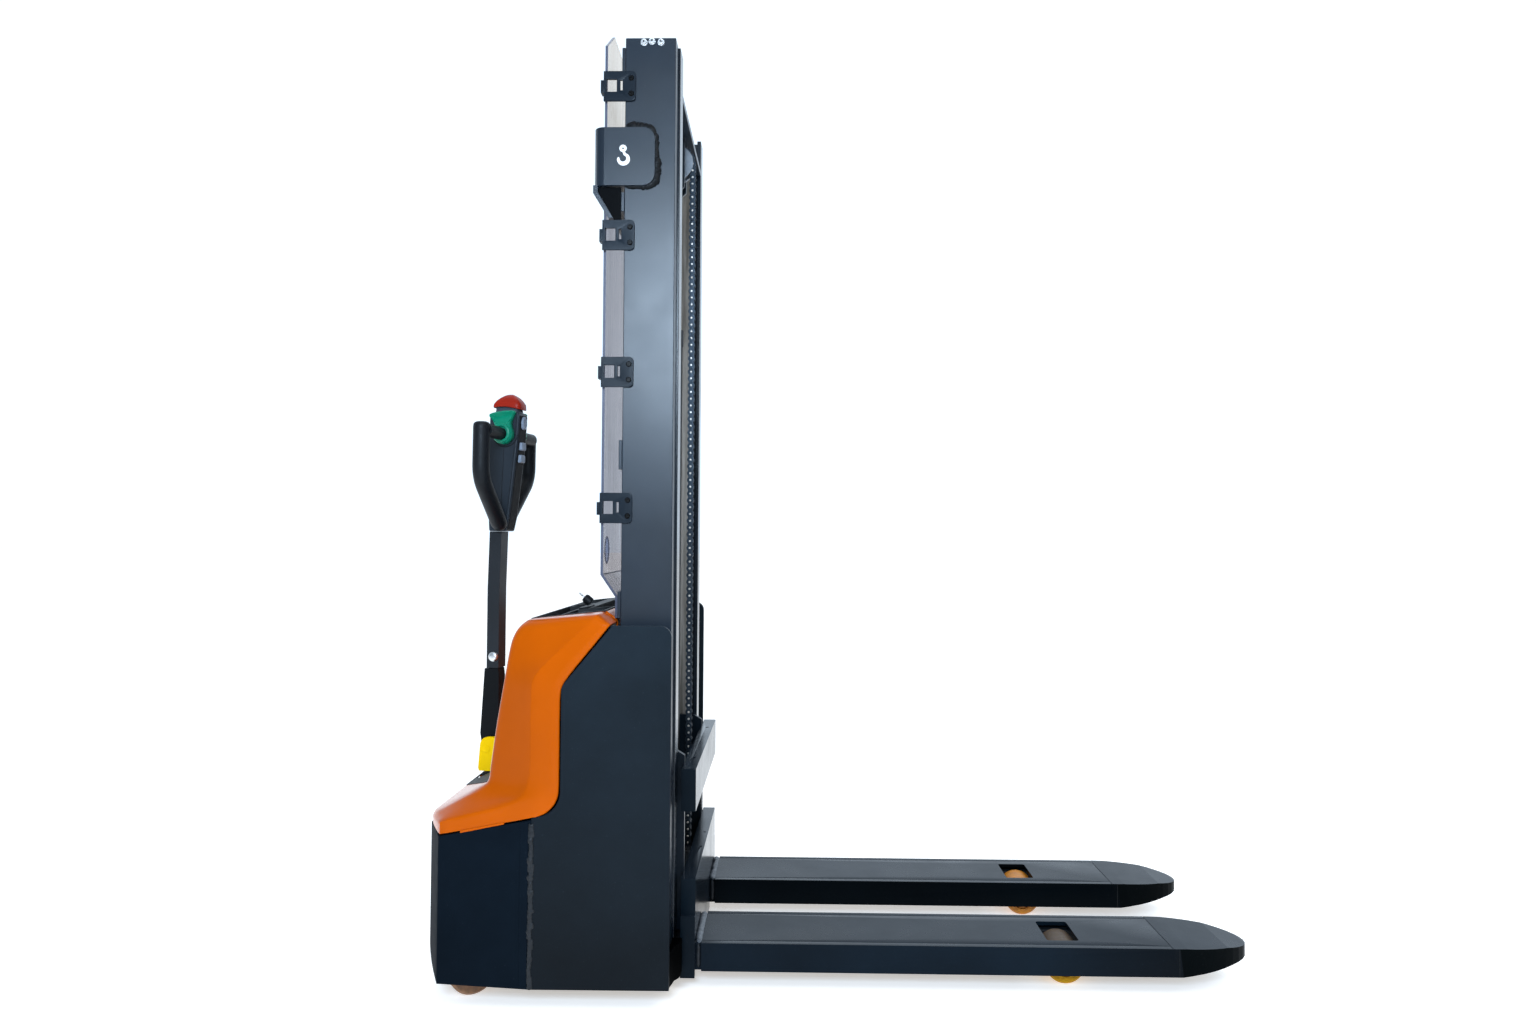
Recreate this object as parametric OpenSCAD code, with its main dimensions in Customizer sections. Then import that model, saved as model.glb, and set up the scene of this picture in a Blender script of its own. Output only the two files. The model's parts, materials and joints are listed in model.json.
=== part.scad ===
// Walkie stacker with a two-stage mast. Millimetres, X towards the fork tips, Z up.

/* [Overall] */
// Height of the lowered mast rails
mast_h = 1950; // [1900:1:2000]
// Width across the chassis side plates
chassis_w = 780; // [776:1:800]
// Distance from the fork face to the rearmost point of the chassis
rear_len = 548; // [544:1:556]

/* [Forks] */
// Fork length from the fork face to the tip
fork_len = 1150; // [1100:10:1220]
// Distance over the outsides of the forks
fork_spread = 570; // [560:1:580]
// Width of one fork
fork_w = 180; // [176:1:184]
// Height of the lowered fork top
fork_top = 93.5; // [90:0.5:94]
// Height of the fork side
fork_side = 57; // [50:1:58]

/* [Mast] */
// Travel of the inner mast, and of the carriage in the inner mast
stroke = 1300; // [1000:10:1320]
// Width across the outer mast rails
mast_w = 640; // [636:1:644]
// Depth of a rail section
rail_d = 104; // [100:1:108]
// Flange thickness of a rail section
rail_t = 10; // [9:0.5:11]
// Pitch radius of the chain sheave
sheave_r = 41; // [38:0.5:43]

/* [Wheels] */
// Diameter of a load roller
load_d = 84; // [80:1:84]
// Width of a load roller
load_w = 86; // [70:1:92]
// Diameter of the drive wheel
drive_d = 200; // [180:2:204]
// Diameter of a castor wheel
castor_d = 100; // [90:1:104]

/* [Tiller] */
// Angle that the tiller is turned from straight back, in degrees
tiller_yaw = -9.2; // [-15:0.1:15]
// Distance from the fork face back to the steering axis
steer_x = 430; // [426:1:434]
// Distance from the tiller middle to a handle grip
grip_y = 131; // [124:1:140]

/* [Hidden] */
$fn = 64;
ox = (fork_len - rear_len) / 2;
cw = chassis_w / 2;
mw = mast_w / 2;
fy = (fork_spread - fork_w) / 2;
fb = fork_top - fork_side;
sx = -steer_x;
rx0 = -153;              // rear face of the outer rails
rx1 = rx0 + rail_d;      // front face of the outer rails
ocx = (rx0 + rx1) / 2;   // middle of the outer rail depth
ix0 = rx0 + 5;           // rear face of the inner rails
ix1 = ix0 + rail_d;      // front face of the inner rails
icx = (ix0 + ix1) / 2;   // middle of the inner rail depth
roll_r = rail_d / 2 - rail_t - 0.35;
chx = -43;               // front chain strand
shx = chx - sheave_r;    // sheave axis
shz = 1804;
chr = shx - sheave_r;    // rear chain strand
lwx = 767;               // load roller axis
lwz = load_d / 2;
cax = -428;              // castor swivel axis
cay = 292;
cas_turn = 37;           // how far the castors are turned
cas_trail = 28;
pvx = -78;               // tiller pivot, from the steering axis
pvz = 428;
hbx = -45;               // paddle axis, from the steering axis
hbz = 1161;
dash = 6.4;              // slope of the dash, in degrees

function arc(cx, cy, r, a0, a1, n) =
    [for (i = [0:n]) let (a = a0 + (a1 - a0) * i / n) [cx + r * cos(a), cy + r * sin(a)]];

module sides() { children(); mirror([0, 1, 0]) children(); }
module part_frame() translate([-ox, 0, 0]) children();
// Flat shape in X and Z, from y0 to y1
module slab(y0, y1) translate([0, y1, 0]) rotate([90, 0, 0]) linear_extrude(y1 - y0) children();
module box(a, b) translate(a) cube(b - a);
// Round bar along Y
module bar_y(r, x, z, y0, y1) translate([x, y0, z]) rotate([-90, 0, 0]) cylinder(r = r, h = y1 - y0);
module steered() translate([sx, 0, 0]) rotate([0, 0, tiller_yaw]) children();

/* ---- chassis ---- */

function plan_outer() = [[-313, -cw], [-495, -cw], [-rear_len, -276], [-rear_len, 276], [-495, cw], [-313, cw]];
function plan_inner(t) = [[-312, -cw + t], [-495 + t * 0.65, -cw + t], [-rear_len + t, -276 + t * 0.22],
    [-rear_len + t, 276 - t * 0.22], [-495 + t * 0.65, cw - t], [-312, cw - t]];

function plate_line() = concat([[-313, 40], [-41, 41]], arc(-63, 726, 22, 0, 90, 6),
    [[-158, 748], [-253, 633], [-257, 624]], arc(-307, 424, 50, 0, -80, 8), [[-313, 372]]);

module side_plates() color([0.10, 0.12, 0.15])
    sides() slab(-cw, -cw + 8) polygon(plate_line());

module rear_skirt() color([0.09, 0.11, 0.13]) intersection() {
    difference() {
        linear_extrude(420) polygon(plan_outer());
        translate([0, 0, -1]) linear_extrude(430) polygon(plan_inner(6));
    }
    slab(-cw - 1, cw + 1) polygon(concat([[-313, 40], [-440, 46.5], [-512, 50]],
        arc(-rear_len + 36, 86, 36, 270, 180, 6), [[-rear_len, 333], [-495, 335], [-313, 368]]));
}

module chassis_frame() color([0.12, 0.13, 0.15]) {
    difference() {
        translate([0, 0, 232]) linear_extrude(12) polygon(concat([[-161, -cw + 8.2], [-312, -cw + 8.2]],
            [for (p = plan_inner(8.2)) p], [[-312, cw - 8.2], [-161, cw - 8.2]]));
        translate([sx, 0, 231]) cylinder(r = 92, h = 14);
    }
    box([-161, -cw + 8.2, 48], [-153.2, cw - 8.2, 720]);
    box([-300, -cw + 8.2, 60], [-161, cw - 8.2, 66]);
    box([-148, -125, 44], [-60, 125, 60]);
    box([-137, -14, 60], [-113, 14, 104]);
    box([-161, -125, 44], [-148, 125, 60]);
    sides() {
        box([-153.2, -cw + 8.2, 42], [-45, -265, 48]);
        difference() {
            box([-486, -cw + 6.2, 140], [-370, -216, 150]);
            translate([cax, -cay, 139]) cylinder(r = 12.05, h = 12);
        }
        box([-486, -cw + 6.2, 150], [-370, -cw + 12.2, 232]);
    }
}

module support_legs() color([0.10, 0.11, 0.13]) sides() translate([0, -fy, 0]) difference() {
    union() {
        box([-153.2, -70, 40], [702, 70, 76]);
        for (s = [-1, 1]) slab(s > 0 ? 50 : -70, s > 0 ? 70 : -50)
            polygon(concat([[700, 40]], arc(lwx + 32, 58, 18, 270, 450, 8), [[700, 76]]));
    }
    box([-140, -62, 48], [690, 62, 68]);
    bar_y(10.02, lwx, lwz, -80, 80);
}

module load_axles() color([0.62, 0.64, 0.66]) sides() bar_y(10, lwx, lwz, -fy - 69, -fy + 69);

module load_roller(s) color([0.86, 0.50, 0.10]) translate([lwx, s * fy, lwz]) rotate([90, 0, 0]) difference() {
    rotate_extrude() polygon([[10.06, -load_w / 2], [load_d / 2 - 4, -load_w / 2], [load_d / 2, -load_w / 2 + 4],
        [load_d / 2, load_w / 2 - 4], [load_d / 2 - 4, load_w / 2], [10.06, load_w / 2]]);
    for (m = [0, 1]) mirror([0, 0, m]) translate([0, 0, load_w / 2 - 4]) difference() {
        cylinder(r = 27, h = 5);
        translate([0, 0, -1]) cylinder(r = 16, h = 7);
    }
}
module load_roller_left() load_roller(1);
module load_roller_right() load_roller(-1);

/* ---- outer mast ---- */

module outer_mast_rails() color([0.10, 0.12, 0.15]) sides() {
    difference() {
        box([rx0, -mw, 48], [rx1, -mw + 42, mast_h]);
        box([rx0 + rail_t, -mw + 8, 47], [rx1 - rail_t, -mw + 43, mast_h + 1]);
    }
    bar_y(15, icx, 1896, -mw + 8, -257.2);
}

module outer_mast_crossbeams() color([0.10, 0.12, 0.15]) {
    box([-160, -mw, 757], [rx0, mw, 812]);
    box([-160, -mw, 1060], [rx0, mw, 1120]);
    box([-160, -mw, 1590], [rx0, mw, 1630]);
    box([-160, -mw, 1880], [rx0, mw, 1930]);
}

module outer_mast_rollers() color([0.55, 0.57, 0.60]) sides() difference() {
    bar_y(roll_r, icx, 1896, -275, -257);
    bar_y(15.06, icx, 1896, -276, -256);
}

module lifting_bracket() color([0.10, 0.12, 0.14]) {
    intersection() {
        translate([0, 0, 1641]) linear_extrude(120) difference() {
            polygon(concat([[-90, -mw - 9]], arc(-194, -mw + 13, 22, 270, 180, 6),
                arc(-194, mw - 13, 22, 180, 90, 6), [[-90, mw + 9]]));
            polygon(concat([[-89, -mw]], arc(-194, -mw + 13, 13, 270, 180, 6),
                arc(-194, mw - 13, 13, 180, 90, 6), [[-89, mw]]));
        }
        slab(-mw - 20, mw + 20) polygon(concat([[-226, 1641]], arc(-115, 1666, 25, 270, 360, 6),
            arc(-115, 1736, 25, 0, 90, 6), [[-226, 1761]]));
    }
    sides() slab(-mw - 9, -mw + 3) polygon([[-216, 1641], [-216, 1625], [-184, 1573.5], [-174.5, 1573.5], [-206.5, 1627], [-206.5, 1641]]);
    sides() slab(-mw + 3, -mw + 7) polygon([[-209, 1641], [-209, 1625], [-184, 1573.5], [-160.2, 1573.5], [-160.2, 1641]]);
}

module guard_panel() color([0.75, 0.76, 0.76, 0.35]) difference() {
    slab(-312, 312) polygon([[-196, 1997], [-196, 845], [-165.4, 800], [-165.4, 757], [-160.4, 757],
        [-160.4, 801], [-191, 846], [-191, 1997]]);
    sides() translate([-200, 0, 0]) rotate([90, 0, 90]) linear_extrude(20)
        polygon([[-313, 1936], [-226, 1998], [-313, 1998]]);
    sides() translate([-201, -255, 895]) rotate([0, 90, 0]) cylinder(r = 29, h = 12);
}

bracket_z = [1848, 1540, 1258.5, 981];

module guard_brackets() color([0.09, 0.10, 0.12]) sides() for (z = bracket_z) translate([0, 0, z]) {
    slab(-mw - 5, -mw) difference() {
        polygon(concat([[-197, -31]], arc(-139, -23, 8, 270, 360, 4), arc(-139, 23, 8, 0, 90, 4), [[-197, 31]]));
        translate([-191, -12]) square([21, 26]);
        translate([-163, -9]) square([5, 21]);
    }
    box([-203, -mw - 5, -14], [-197, -mw + 14, 12]);
}

module guard_screws() color([0.05, 0.05, 0.06]) sides() for (z = bracket_z, d = [-16, 16])
    translate([-140, -mw - 5, z + d]) rotate([90, 0, 0])
        rotate_extrude() polygon([[0, 0], [5.5, 0], [5.5, 1.2], [4, 3], [1.8, 3], [1.8, 1.4], [0, 1.4]]);

module mast_top_bolts() color([0.75, 0.76, 0.78]) sides() for (p = [[-115, mast_h - 10], [-98.6, mast_h - 8], [-80, mast_h - 10]])
    translate([p[0], -mw, p[1]]) rotate([90, 0, 0])
        rotate_extrude() polygon([[0, 0], [7, 0], [7, 1.5], [5.5, 1.5], [5.5, 6], [4.5, 7], [2.2, 7], [2.2, 4], [0, 4]]);

module cylinder_barrels() color([0.14, 0.15, 0.17]) sides() translate([-105, 150, 0]) rotate_extrude()
    polygon([[0, 76], [25, 76], [25, 1400], [27, 1400], [27, 1440], [15.06, 1440], [15.06, 1422], [20, 1422], [20, 88], [0, 88]]);

module lift_chain_rear() color([0.16, 0.16, 0.17]) box([chr - 5.5, -9, 104], [chr + 4.5, 9, shz - 0.2]);

/* ---- covers and what they hold ---- */

module nose_line(y0, y1, d) slab(y0, y1) polygon(d == 0
    ? concat([[-302, 374.6], [-495, 339], [-rear_len, 337], [-rear_len, 348], [-544, 355]], [[-420, 424], [-300, 428]])
    : [[-290, 300], [-rear_len + d, 300], [-rear_len + d, 347], [-541, 352], [-421, 419], [-290, 424]]);
function upper_line() = concat([[-420, 424], [-399, 432], [-395, 446], [-383, 562], [-363, 712], [-358, 733]],
    arc(-336, 732, 24, 160, 96, 4), [[-188, 771], [-161, 752], [-161.6, 749], [-256, 634.5], [-260, 625]],
    arc(-307, 424, 47, 0, -80, 6));
function upper_cut() = [[-416, 426], [-395, 436], [-391, 446], [-379, 562], [-359, 712], [-353, 735], [-336, 752],
    [-188, 767], [-150, 767], [-150, 300], [-416, 300]];

module rear_cover() color([0.85, 0.42, 0.04]) difference() {
    union() {
        intersection() {
            nose_line(-cw, cw, 0);
            linear_extrude(600) polygon(concat(plan_outer(), [[-299, cw], [-299, -cw]]));
        }
        intersection() {
            slab(-cw, cw) polygon(upper_line());
            linear_extrude(900) polygon([[-150, -cw], [-292, -cw], [-306, -cw + 5], [-425, -342], [-425, 342],
                [-306, cw - 5], [-292, cw], [-150, cw]]);
        }
    }
    intersection() {
        nose_line(-cw + 4, cw - 4, 4);
        linear_extrude(600) polygon([[-280, -cw + 4], [-493, -cw + 4], [-rear_len + 4, -274], [-rear_len + 4, 274],
            [-493, cw - 4], [-280, cw - 4]]);
    }
    intersection() {
        slab(-cw + 4, cw - 4) polygon(upper_cut());
        linear_extrude(900) polygon([[-100, -cw + 4], [-291, -cw + 4], [-305, -cw + 9], [-426, -337], [-426, 337],
            [-305, cw - 9], [-291, cw - 4], [-100, cw - 4]]);
    }
    translate([sx, 0, 300]) cylinder(r = 131.3, h = 172);
    translate([-336, 0, 754]) rotate([0, -dash, 0]) box([-4, -300.3, -60], [152, 300.3, 60]);
}

module dash_tray() color([0.06, 0.06, 0.07]) translate([-336, 0, 754]) rotate([0, -dash, 0]) difference() {
    union() {
        box([-3.7, -300, -52], [151.7, 300, 1.5]);
        box([64, -150, 1.4], [84, -70, 5]);
    }
    box([2, -290, -42], [56, 40, 10]);
    box([2, 90, -42], [56, 290, 10]);
    box([62, -290, -42], [145, -156, 10]);
    box([88, -150, -30], [145, 290, 10]);
    translate([30, 65, -28]) cylinder(r = 24, h = 48);
    translate([30, 65, -60]) cylinder(r = 8.05, h = 60);
}

module tiller_well() color([0.04, 0.04, 0.05]) {
    intersection() {
        translate([sx, 0, 0]) difference() {
            translate([0, 0, 300]) cylinder(r = 131, h = 171.7);
            translate([0, 0, 299]) cylinder(r = 128, h = 169.7);
        }
        slab(-200, 200) polygon([[-rear_len + 7, 300], [-rear_len + 7, 346], [-541, 352], [-421, 419], [-399, 430], [-394, 446],
            [-391, 472], [-290, 472], [-290, 300]]);
    }
}

key_p = [-256, -110, 777];

module key_switch() color([0.05, 0.05, 0.06]) translate(key_p) rotate([0, -50, 0]) difference() {
    union() {
        translate([0, 0, -2]) cylinder(r = 10, h = 15);
        translate([0, 0, 13]) cylinder(r = 8.5, h = 3);
    }
    translate([0, 0, 6]) cylinder(r = 5.06, h = 20);
}

module key() color([0.75, 0.76, 0.78]) translate(key_p) rotate([0, -50, 0]) {
    translate([0, 0, 6.3]) cylinder(r = 5, h = 10.2);
    box([-1, -3, 16], [1, 3, 20]);
    translate([-1.1, 0, 25]) rotate([0, 90, 0]) cylinder(r = 6.5, h = 2.2);
}

module emergency_button() color([0.80, 0.10, 0.07]) translate([-336, 0, 754]) rotate([0, -dash, 0])
    translate([30, 65, 0]) rotate_extrude()
        polygon([[0, -56], [8, -56], [8, -19.5], [17, -19.5], [18, -16], [16, -11], [8, -8.5], [0, -7.8]]);

module battery_pack() color([0.12, 0.12, 0.13]) for (s = [-1, 1]) translate([0, s * 131, 0]) {
    box([-295, -128, 244], [-163, 128, 440]);
    box([-297, -130, 440], [-163, 130, 464]);
    for (y = [-80, 80]) translate([-200, y, 464]) cylinder(r = 9, h = 14);
}

module pump_unit() color([0.20, 0.21, 0.23]) {
    box([-296, -300, 66], [-170, 40, 210]);
    translate([-232, 40, 140]) rotate([-90, 0, 0]) cylinder(r = 45, h = 60);
    translate([-232, 100, 140]) rotate([-90, 0, 0]) cylinder(r = 58, h = 190);
    box([-250, 120, 66], [-214, 270, 84]);
    translate([-232, -120, 210]) cylinder(r = 18, h = 14);
}

module motor_controller() color([0.30, 0.31, 0.33]) {
    box([-206, 60, 490], [-161, 260, 640]);
    for (y = [90, 130, 190, 230]) translate([-206, y, 530]) rotate([0, -90, 0]) cylinder(r = 6, h = 12);
}

/* ---- inner mast ---- */

module inner_mast_rails() color([0.11, 0.13, 0.16]) sides() {
    difference() {
        box([ix0, -276, 84], [ix1, -226, mast_h]);
        box([ix0 + rail_t, -277, 83], [ix1 - rail_t, -255, mast_h + 1]);
        box([ix0 + rail_t, -247, 83], [ix1 - rail_t, -225, mast_h + 1]);
    }
    bar_y(15, ocx, 136, -309, -255);
}

module inner_mast_crossbeams() color([0.11, 0.13, 0.16]) {
    box([ix0, -226, 1857], [ix1, 226, 1871]);
    box([ix0, -226, 1790], [ix0 + 8, 226, 1857]);
    box([ix0, -226, 110], [ix0 + 8, 226, 190]);
    sides() difference() {
        slab(-27, -19) polygon([[shx - 24, 1857], [shx - 24, 1744], [shx - 14, 1734], [shx + 14, 1734], [shx + 24, 1744], [shx + 24, 1857]]);
        bar_y(12.52, shx, shz, -40, 0);
    }
    bar_y(12.5, shx, shz, -32, 32);
}

module cylinder_rods() color([0.80, 0.81, 0.83]) sides() translate([-105, 150, 0]) rotate_extrude()
    polygon([[0, 92], [19.9, 92], [19.9, 112], [15, 112], [15, 1857], [0, 1857]]);

module sheave() color([0.66, 0.68, 0.70]) translate([shx, 0, shz]) rotate([90, 0, 0]) rotate_extrude()
    polygon([[12.56, -18], [24, -18], [24, -15.5], [42.5, -15.5], [42.5, -12], [36, -11], [36, 11], [42.5, 12], [42.5, 15.5],
        [24, 15.5], [24, 18], [12.56, 18]]);

module lift_chain_front() color([0.16, 0.16, 0.17]) {
    box([chx - 4.5, -9, 214], [chx + 5.5, 9, shz]);
    translate([shx, 0, shz]) rotate([90, 0, 0]) translate([0, 0, -9]) rotate_extrude(angle = 180)
        polygon([[sheave_r - 4.5, 0], [sheave_r + 5.5, 0], [sheave_r + 5.5, 18], [sheave_r - 4.5, 18]]);
}

module inner_mast_rollers() color([0.55, 0.57, 0.60]) sides() difference() {
    bar_y(roll_r, ocx, 136, -309, -281);
    bar_y(15.06, ocx, 136, -310, -280);
}

/* ---- carriage ---- */

car_z = [140, 394];

module carriage_side_plates() color([0.10, 0.11, 0.13]) sides() {
    slab(-222, -208) polygon([[-136, 96], [-30, 96], [-30, 461], [-50, 473], [-120, 473], [-136, 456]]);
    for (z = car_z) bar_y(15, icx, z, -246, -222);
}

module carriage_upper_beam() color([0.11, 0.12, 0.14]) difference() {
    box([-30, -288, 361], [0, 288, 447]);
    for (s = [-1, 1]) translate([-14, s * 177, 427]) cylinder(r = 4.25, h = 21);
}

module carriage_lower_beam() color([0.11, 0.12, 0.14]) difference() {
    union() {
        box([-30, -288, 23], [0, 288, 148]);
        box([-30, -280, 148], [0, 280, 221]);
    }
    sides() box([-31, -fy - 77, 22], [1, -fy + 77, 84]);
    for (s = [-1, 1]) translate([-9, s * 57, 201]) cylinder(r = 3.5, h = 21);
}

module chain_anchor() color([0.20, 0.20, 0.22]) {
    box([chx - 9, -16, 150], [-30, 16, 198]);
    box([chx - 6, -6, 198], [chx + 6, 6, 213.8]);
}

module carriage_roller(z) color([0.55, 0.57, 0.60]) sides() difference() {
    bar_y(roll_r, icx, z, -246, -228);
    bar_y(15.06, icx, z, -247, -227);
}
module carriage_rollers_lower() carriage_roller(car_z[0]);
module carriage_rollers_upper() carriage_roller(car_z[1]);

function nose_plan() = concat([[966, -fork_w / 2]],
    [for (i = [0:20]) let (a = -90 + 9 * i) [fork_len - 165 + 165 * cos(a), fork_w / 2 * sin(a)]], [[966, fork_w / 2]]);

module fork(s) color([0.12, 0.14, 0.17]) translate([0, s * fy, 0]) difference() {
    union() {
        difference() {
            box([13, -fork_w / 2, fb], [972, fork_w / 2, fork_top]);
            box([12, -fork_w / 2 + 8, fb - 1], [900, fork_w / 2 - 8, fork_top - 8]);
        }
        difference() {
            box([0, -82, fb], [13.1, 82, fork_top - 2]);
            box([-1, -77, fb - 1], [14, 77, 84]);
        }
        difference() {
            translate([0, 0, fb]) linear_extrude(fork_side) polygon(nose_plan());
            slab(-100, 100) polygon([[fork_len - 158, fb - 1], [fork_len - 158, fb], [fork_len - 100, fb + 8], [fork_len - 45, fb + 17], [fork_len + 1, fb + 22], [fork_len + 1, fb - 1]]);
            slab(-100, 100) polygon([[fork_len - 150, fork_top + 1], [fork_len - 150, fork_top], [fork_len - 60, fork_top - 4], [fork_len + 1, fork_top - 13], [fork_len + 1, fork_top + 1]]);
        }
    }
    translate([726, -52, fork_top - 20]) linear_extrude(40) polygon(concat(arc(6, 6, 6, 180, 270, 4), arc(60, 6, 6, 270, 360, 4),
        arc(60, 98, 6, 0, 90, 4), arc(6, 98, 6, 90, 180, 4)));
    for (y = [-1, 1]) translate([14, y * (fork_w / 2 - 14.5) - 0.6, fork_top - 0.8]) cube([955, 1.2, 2]);
    box([970.5, -fork_w / 2 - 1, fork_top - 0.8], [972, fork_w / 2 + 1, fork_top + 1]);
}
module fork_left() fork(1);
module fork_right() fork(-1);

/* ---- drive and steering ---- */

module drive_gearbox() color([0.22, 0.23, 0.25]) steered() {
    translate([0, 0, 226]) cylinder(r = 91.94, h = 18.3);
    translate([0, 0, 244.3]) cylinder(r = 100, h = 9.7);
    box([-40, 42, 100], [40, 74, 226]);
    translate([0, 42, drive_d / 2]) rotate([-90, 0, 0]) cylinder(r = 52, h = 32);
    translate([0, -36, drive_d / 2]) rotate([-90, 0, 0]) cylinder(r = 15, h = 78);
    for (s = [-1, 1]) box([-28, s > 0 ? 76 : -84, 254], [28, s > 0 ? 84 : -76, 362]);
    translate([0, 0, 362]) linear_extrude(12) polygon([[-100, -31], [-40, -31], [-28, -84], [28, -84], [28, 84], [-28, 84], [-40, 31], [-100, 31]]);
}

module drive_motor() color([0.13, 0.13, 0.15]) steered() {
    translate([0, 0, 254]) cylinder(r = 68, h = 84);
    translate([0, 0, 338]) cylinder(r = 42, h = 20);
}

module drive_hub() color([0.55, 0.56, 0.58]) steered() translate([0, 0, drive_d / 2]) rotate([90, 0, 0]) rotate_extrude()
    polygon([[15.06, -32], [40, -32], [40, -20], [drive_d / 2 - 34, -20], [drive_d / 2 - 34, -32], [drive_d / 2 - 30.02, -32],
        [drive_d / 2 - 30.02, 32], [drive_d / 2 - 34, 32], [drive_d / 2 - 34, 20], [30, 20], [30, 34], [15.06, 34]]);

module drive_tyre() color([0.55, 0.30, 0.14]) steered() translate([0, 0, drive_d / 2]) rotate([90, 0, 0]) rotate_extrude()
    polygon([[drive_d / 2 - 30, -32], [drive_d / 2 - 5, -32], [drive_d / 2, -27], [drive_d / 2, 27], [drive_d / 2 - 5, 32], [drive_d / 2 - 30, 32]]);

module tiller_base() color([0.93, 0.78, 0.05]) steered() difference() {
    slab(-31, 31) polygon(concat([[-93, 374], [-48, 374], [-48, 440]], arc(-62, 442, 14, 0, 90, 4), arc(-75, 436, 20, 90, 180, 6), [[-95, 384]]));
    box([-120, -18.5, 386], [0, 18.5, 500]);
    bar_y(8.06, pvx, pvz, -40, 40);
}

/* ---- tiller ---- */

module tiller_bracket() color([0.07, 0.08, 0.09]) steered() difference() {
    union() {
        slab(-17, 17) polygon([[-92, 613], [-58, 613], [-56, 596], [-56, 434], [-66, 408], [-84, 402], [-93, 416], [-101, 462]]);
        box([-83, -15.5, 612], [-59.5, 15.5, 690]);
    }
    bar_y(8.03, pvx, pvz, -40, 40);
    bar_y(6.03, -69, 641, -40, 40);
}

module tiller_arm() color([0.11, 0.12, 0.14]) steered() difference() {
    slab(-19, 19) polygon([[-86, 615], [-56.5, 615], [-56.5, 800], [-52.8, 934], [-82.3, 934], [-86, 800]]);
    box([-83.4, -16, 614], [-59.1, 16, 798]);
    bar_y(6.03, -69, 641, -40, 40);
}

module tiller_pins() color([0.75, 0.76, 0.78]) steered() {
    bar_y(8, pvx, pvz, -34, 34);
    bar_y(6, -69, 641, -19, 19);
    sides() translate([-69, -19, 641]) rotate([90, 0, 0]) rotate_extrude() polygon([[0, 0], [11.5, 0], [11.5, 3], [8, 6], [0, 7]]);
}

module tiller_head() color([0.06, 0.07, 0.08]) steered() difference() {
    slab(-25, 25) polygon([[-86, 934.5], [-40, 934.5], [-32, 966], [-27, 1008], [-19, 1079], [-12, 1150], [-9, 1206], [-14, 1213],
        [-78, 1213], [-85, 1204], [-87, 1100]]);
    for (s = [-1, 1]) slab(s > 0 ? 21 : -30, s > 0 ? 30 : -21) polygon([[-100, 930], [-30, 930], [-30, 960], [-100, 960]]);
    translate([-46, 0, 1150]) cylinder(r = 8.06, h = 80);
    for (b = buttons) translate([b[2] - 20, 0, b[0]]) rotate([0, 90, 0]) cylinder(r = 5.06, h = 40);
    bar_y(15.02, hbx, hbz, -26, -14);
    bar_y(15.02, hbx, hbz, 14, 26);
}

module handle(s) color([0.05, 0.055, 0.06]) steered() mirror([0, s > 0 ? 0 : 1, 0]) {
    translate([hbx, grip_y, 0]) rotate_extrude() polygon([[0, 1052], [12, 1052], [17.5, 1060], [17.5, 1172], [13, 1176], [0, 1176]]);
    translate([hbx - 13, 0, 0]) rotate([90, 0, 90]) linear_extrude(26) polygon([[grip_y - 11, 1082], [25.2, 988.4], [25.2, 942], [40, 952.5], [grip_y + 2, 1054], [grip_y + 2, 1082]]);
    bar_y(15, hbx, hbz, 14.3, 62);
    bar_y(12, hbx, hbz, 61, grip_y);
}
module handle_left() handle(1);
module handle_right() handle(-1);

module belly_button() color([0.78, 0.16, 0.07]) steered() {
    slab(-23, 23) polygon([[-82, 1221], [-10, 1221], [-9, 1230], [-22, 1245], [-44, 1253], [-70, 1244], [-81, 1232]]);
    translate([-46, 0, 1160]) cylinder(r = 8, h = 64);
}

module butterfly() color([0.0, 0.62, 0.42]) steered() for (s = [-1, 1]) difference() {
    union() {
        bar_y(24, hbx, hbz, s > 0 ? 25.6 : -50, s > 0 ? 50 : -25.6);
        slab(s > 0 ? 25.6 : -46, s > 0 ? 46 : -25.6) polygon([[hbx - 19, hbz + 12], [hbx - 28, hbz + 36], [hbx - 30, hbz + 44], [hbx - 16, hbz + 47],
            [hbx + 22, hbz + 50], [hbx + 33, hbz + 48], [hbx + 24, hbz + 36], [hbx + 19, hbz + 12]]);
    }
    bar_y(15.07, hbx, hbz, -60, 60);
}

// Height, half height and face position of each button
buttons = [[1187, 15, -10], [1134, 9, -13.5], [1105, 9, -16.5]];

module button(i) color([0.42, 0.45, 0.50]) steered() translate([buttons[i][2], 0, buttons[i][0]]) {
    box([3.2, -13, -buttons[i][1]], [7.2, 13, buttons[i][1]]);
    translate([-15, 0, 0]) rotate([0, 90, 0]) cylinder(r = 5, h = 19);
}
module horn_button() button(0);
module lift_button() button(1);
module lower_button() button(2);

/* ---- castors ---- */

module castor(s) translate([cax, s * cay, 0]) rotate([0, 0, -s * cas_turn]) children();

module castor_fork(s) color([0.30, 0.31, 0.33]) castor(s) {
    translate([0, 0, 122]) cylinder(r = 38, h = 14);
    translate([0, 0, 136]) cylinder(r = 20, h = 3.7);
    translate([0, 0, 139.7]) cylinder(r = 12, h = 18);
    translate([0, 0, 152]) cylinder(r = 17, h = 8);
    for (q = [-1, 1]) slab(q > 0 ? 25 : -30, q > 0 ? 30 : -25) polygon(concat(arc(-cas_trail, castor_d / 2, 14, 180, 360, 6),
        [[20, 124], [-30, 124]]));
    translate([-cas_trail, -29, castor_d / 2]) rotate([-90, 0, 0]) cylinder(r = 7, h = 58);
}
module castor_fork_left() castor_fork(1);
module castor_fork_right() castor_fork(-1);

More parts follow.
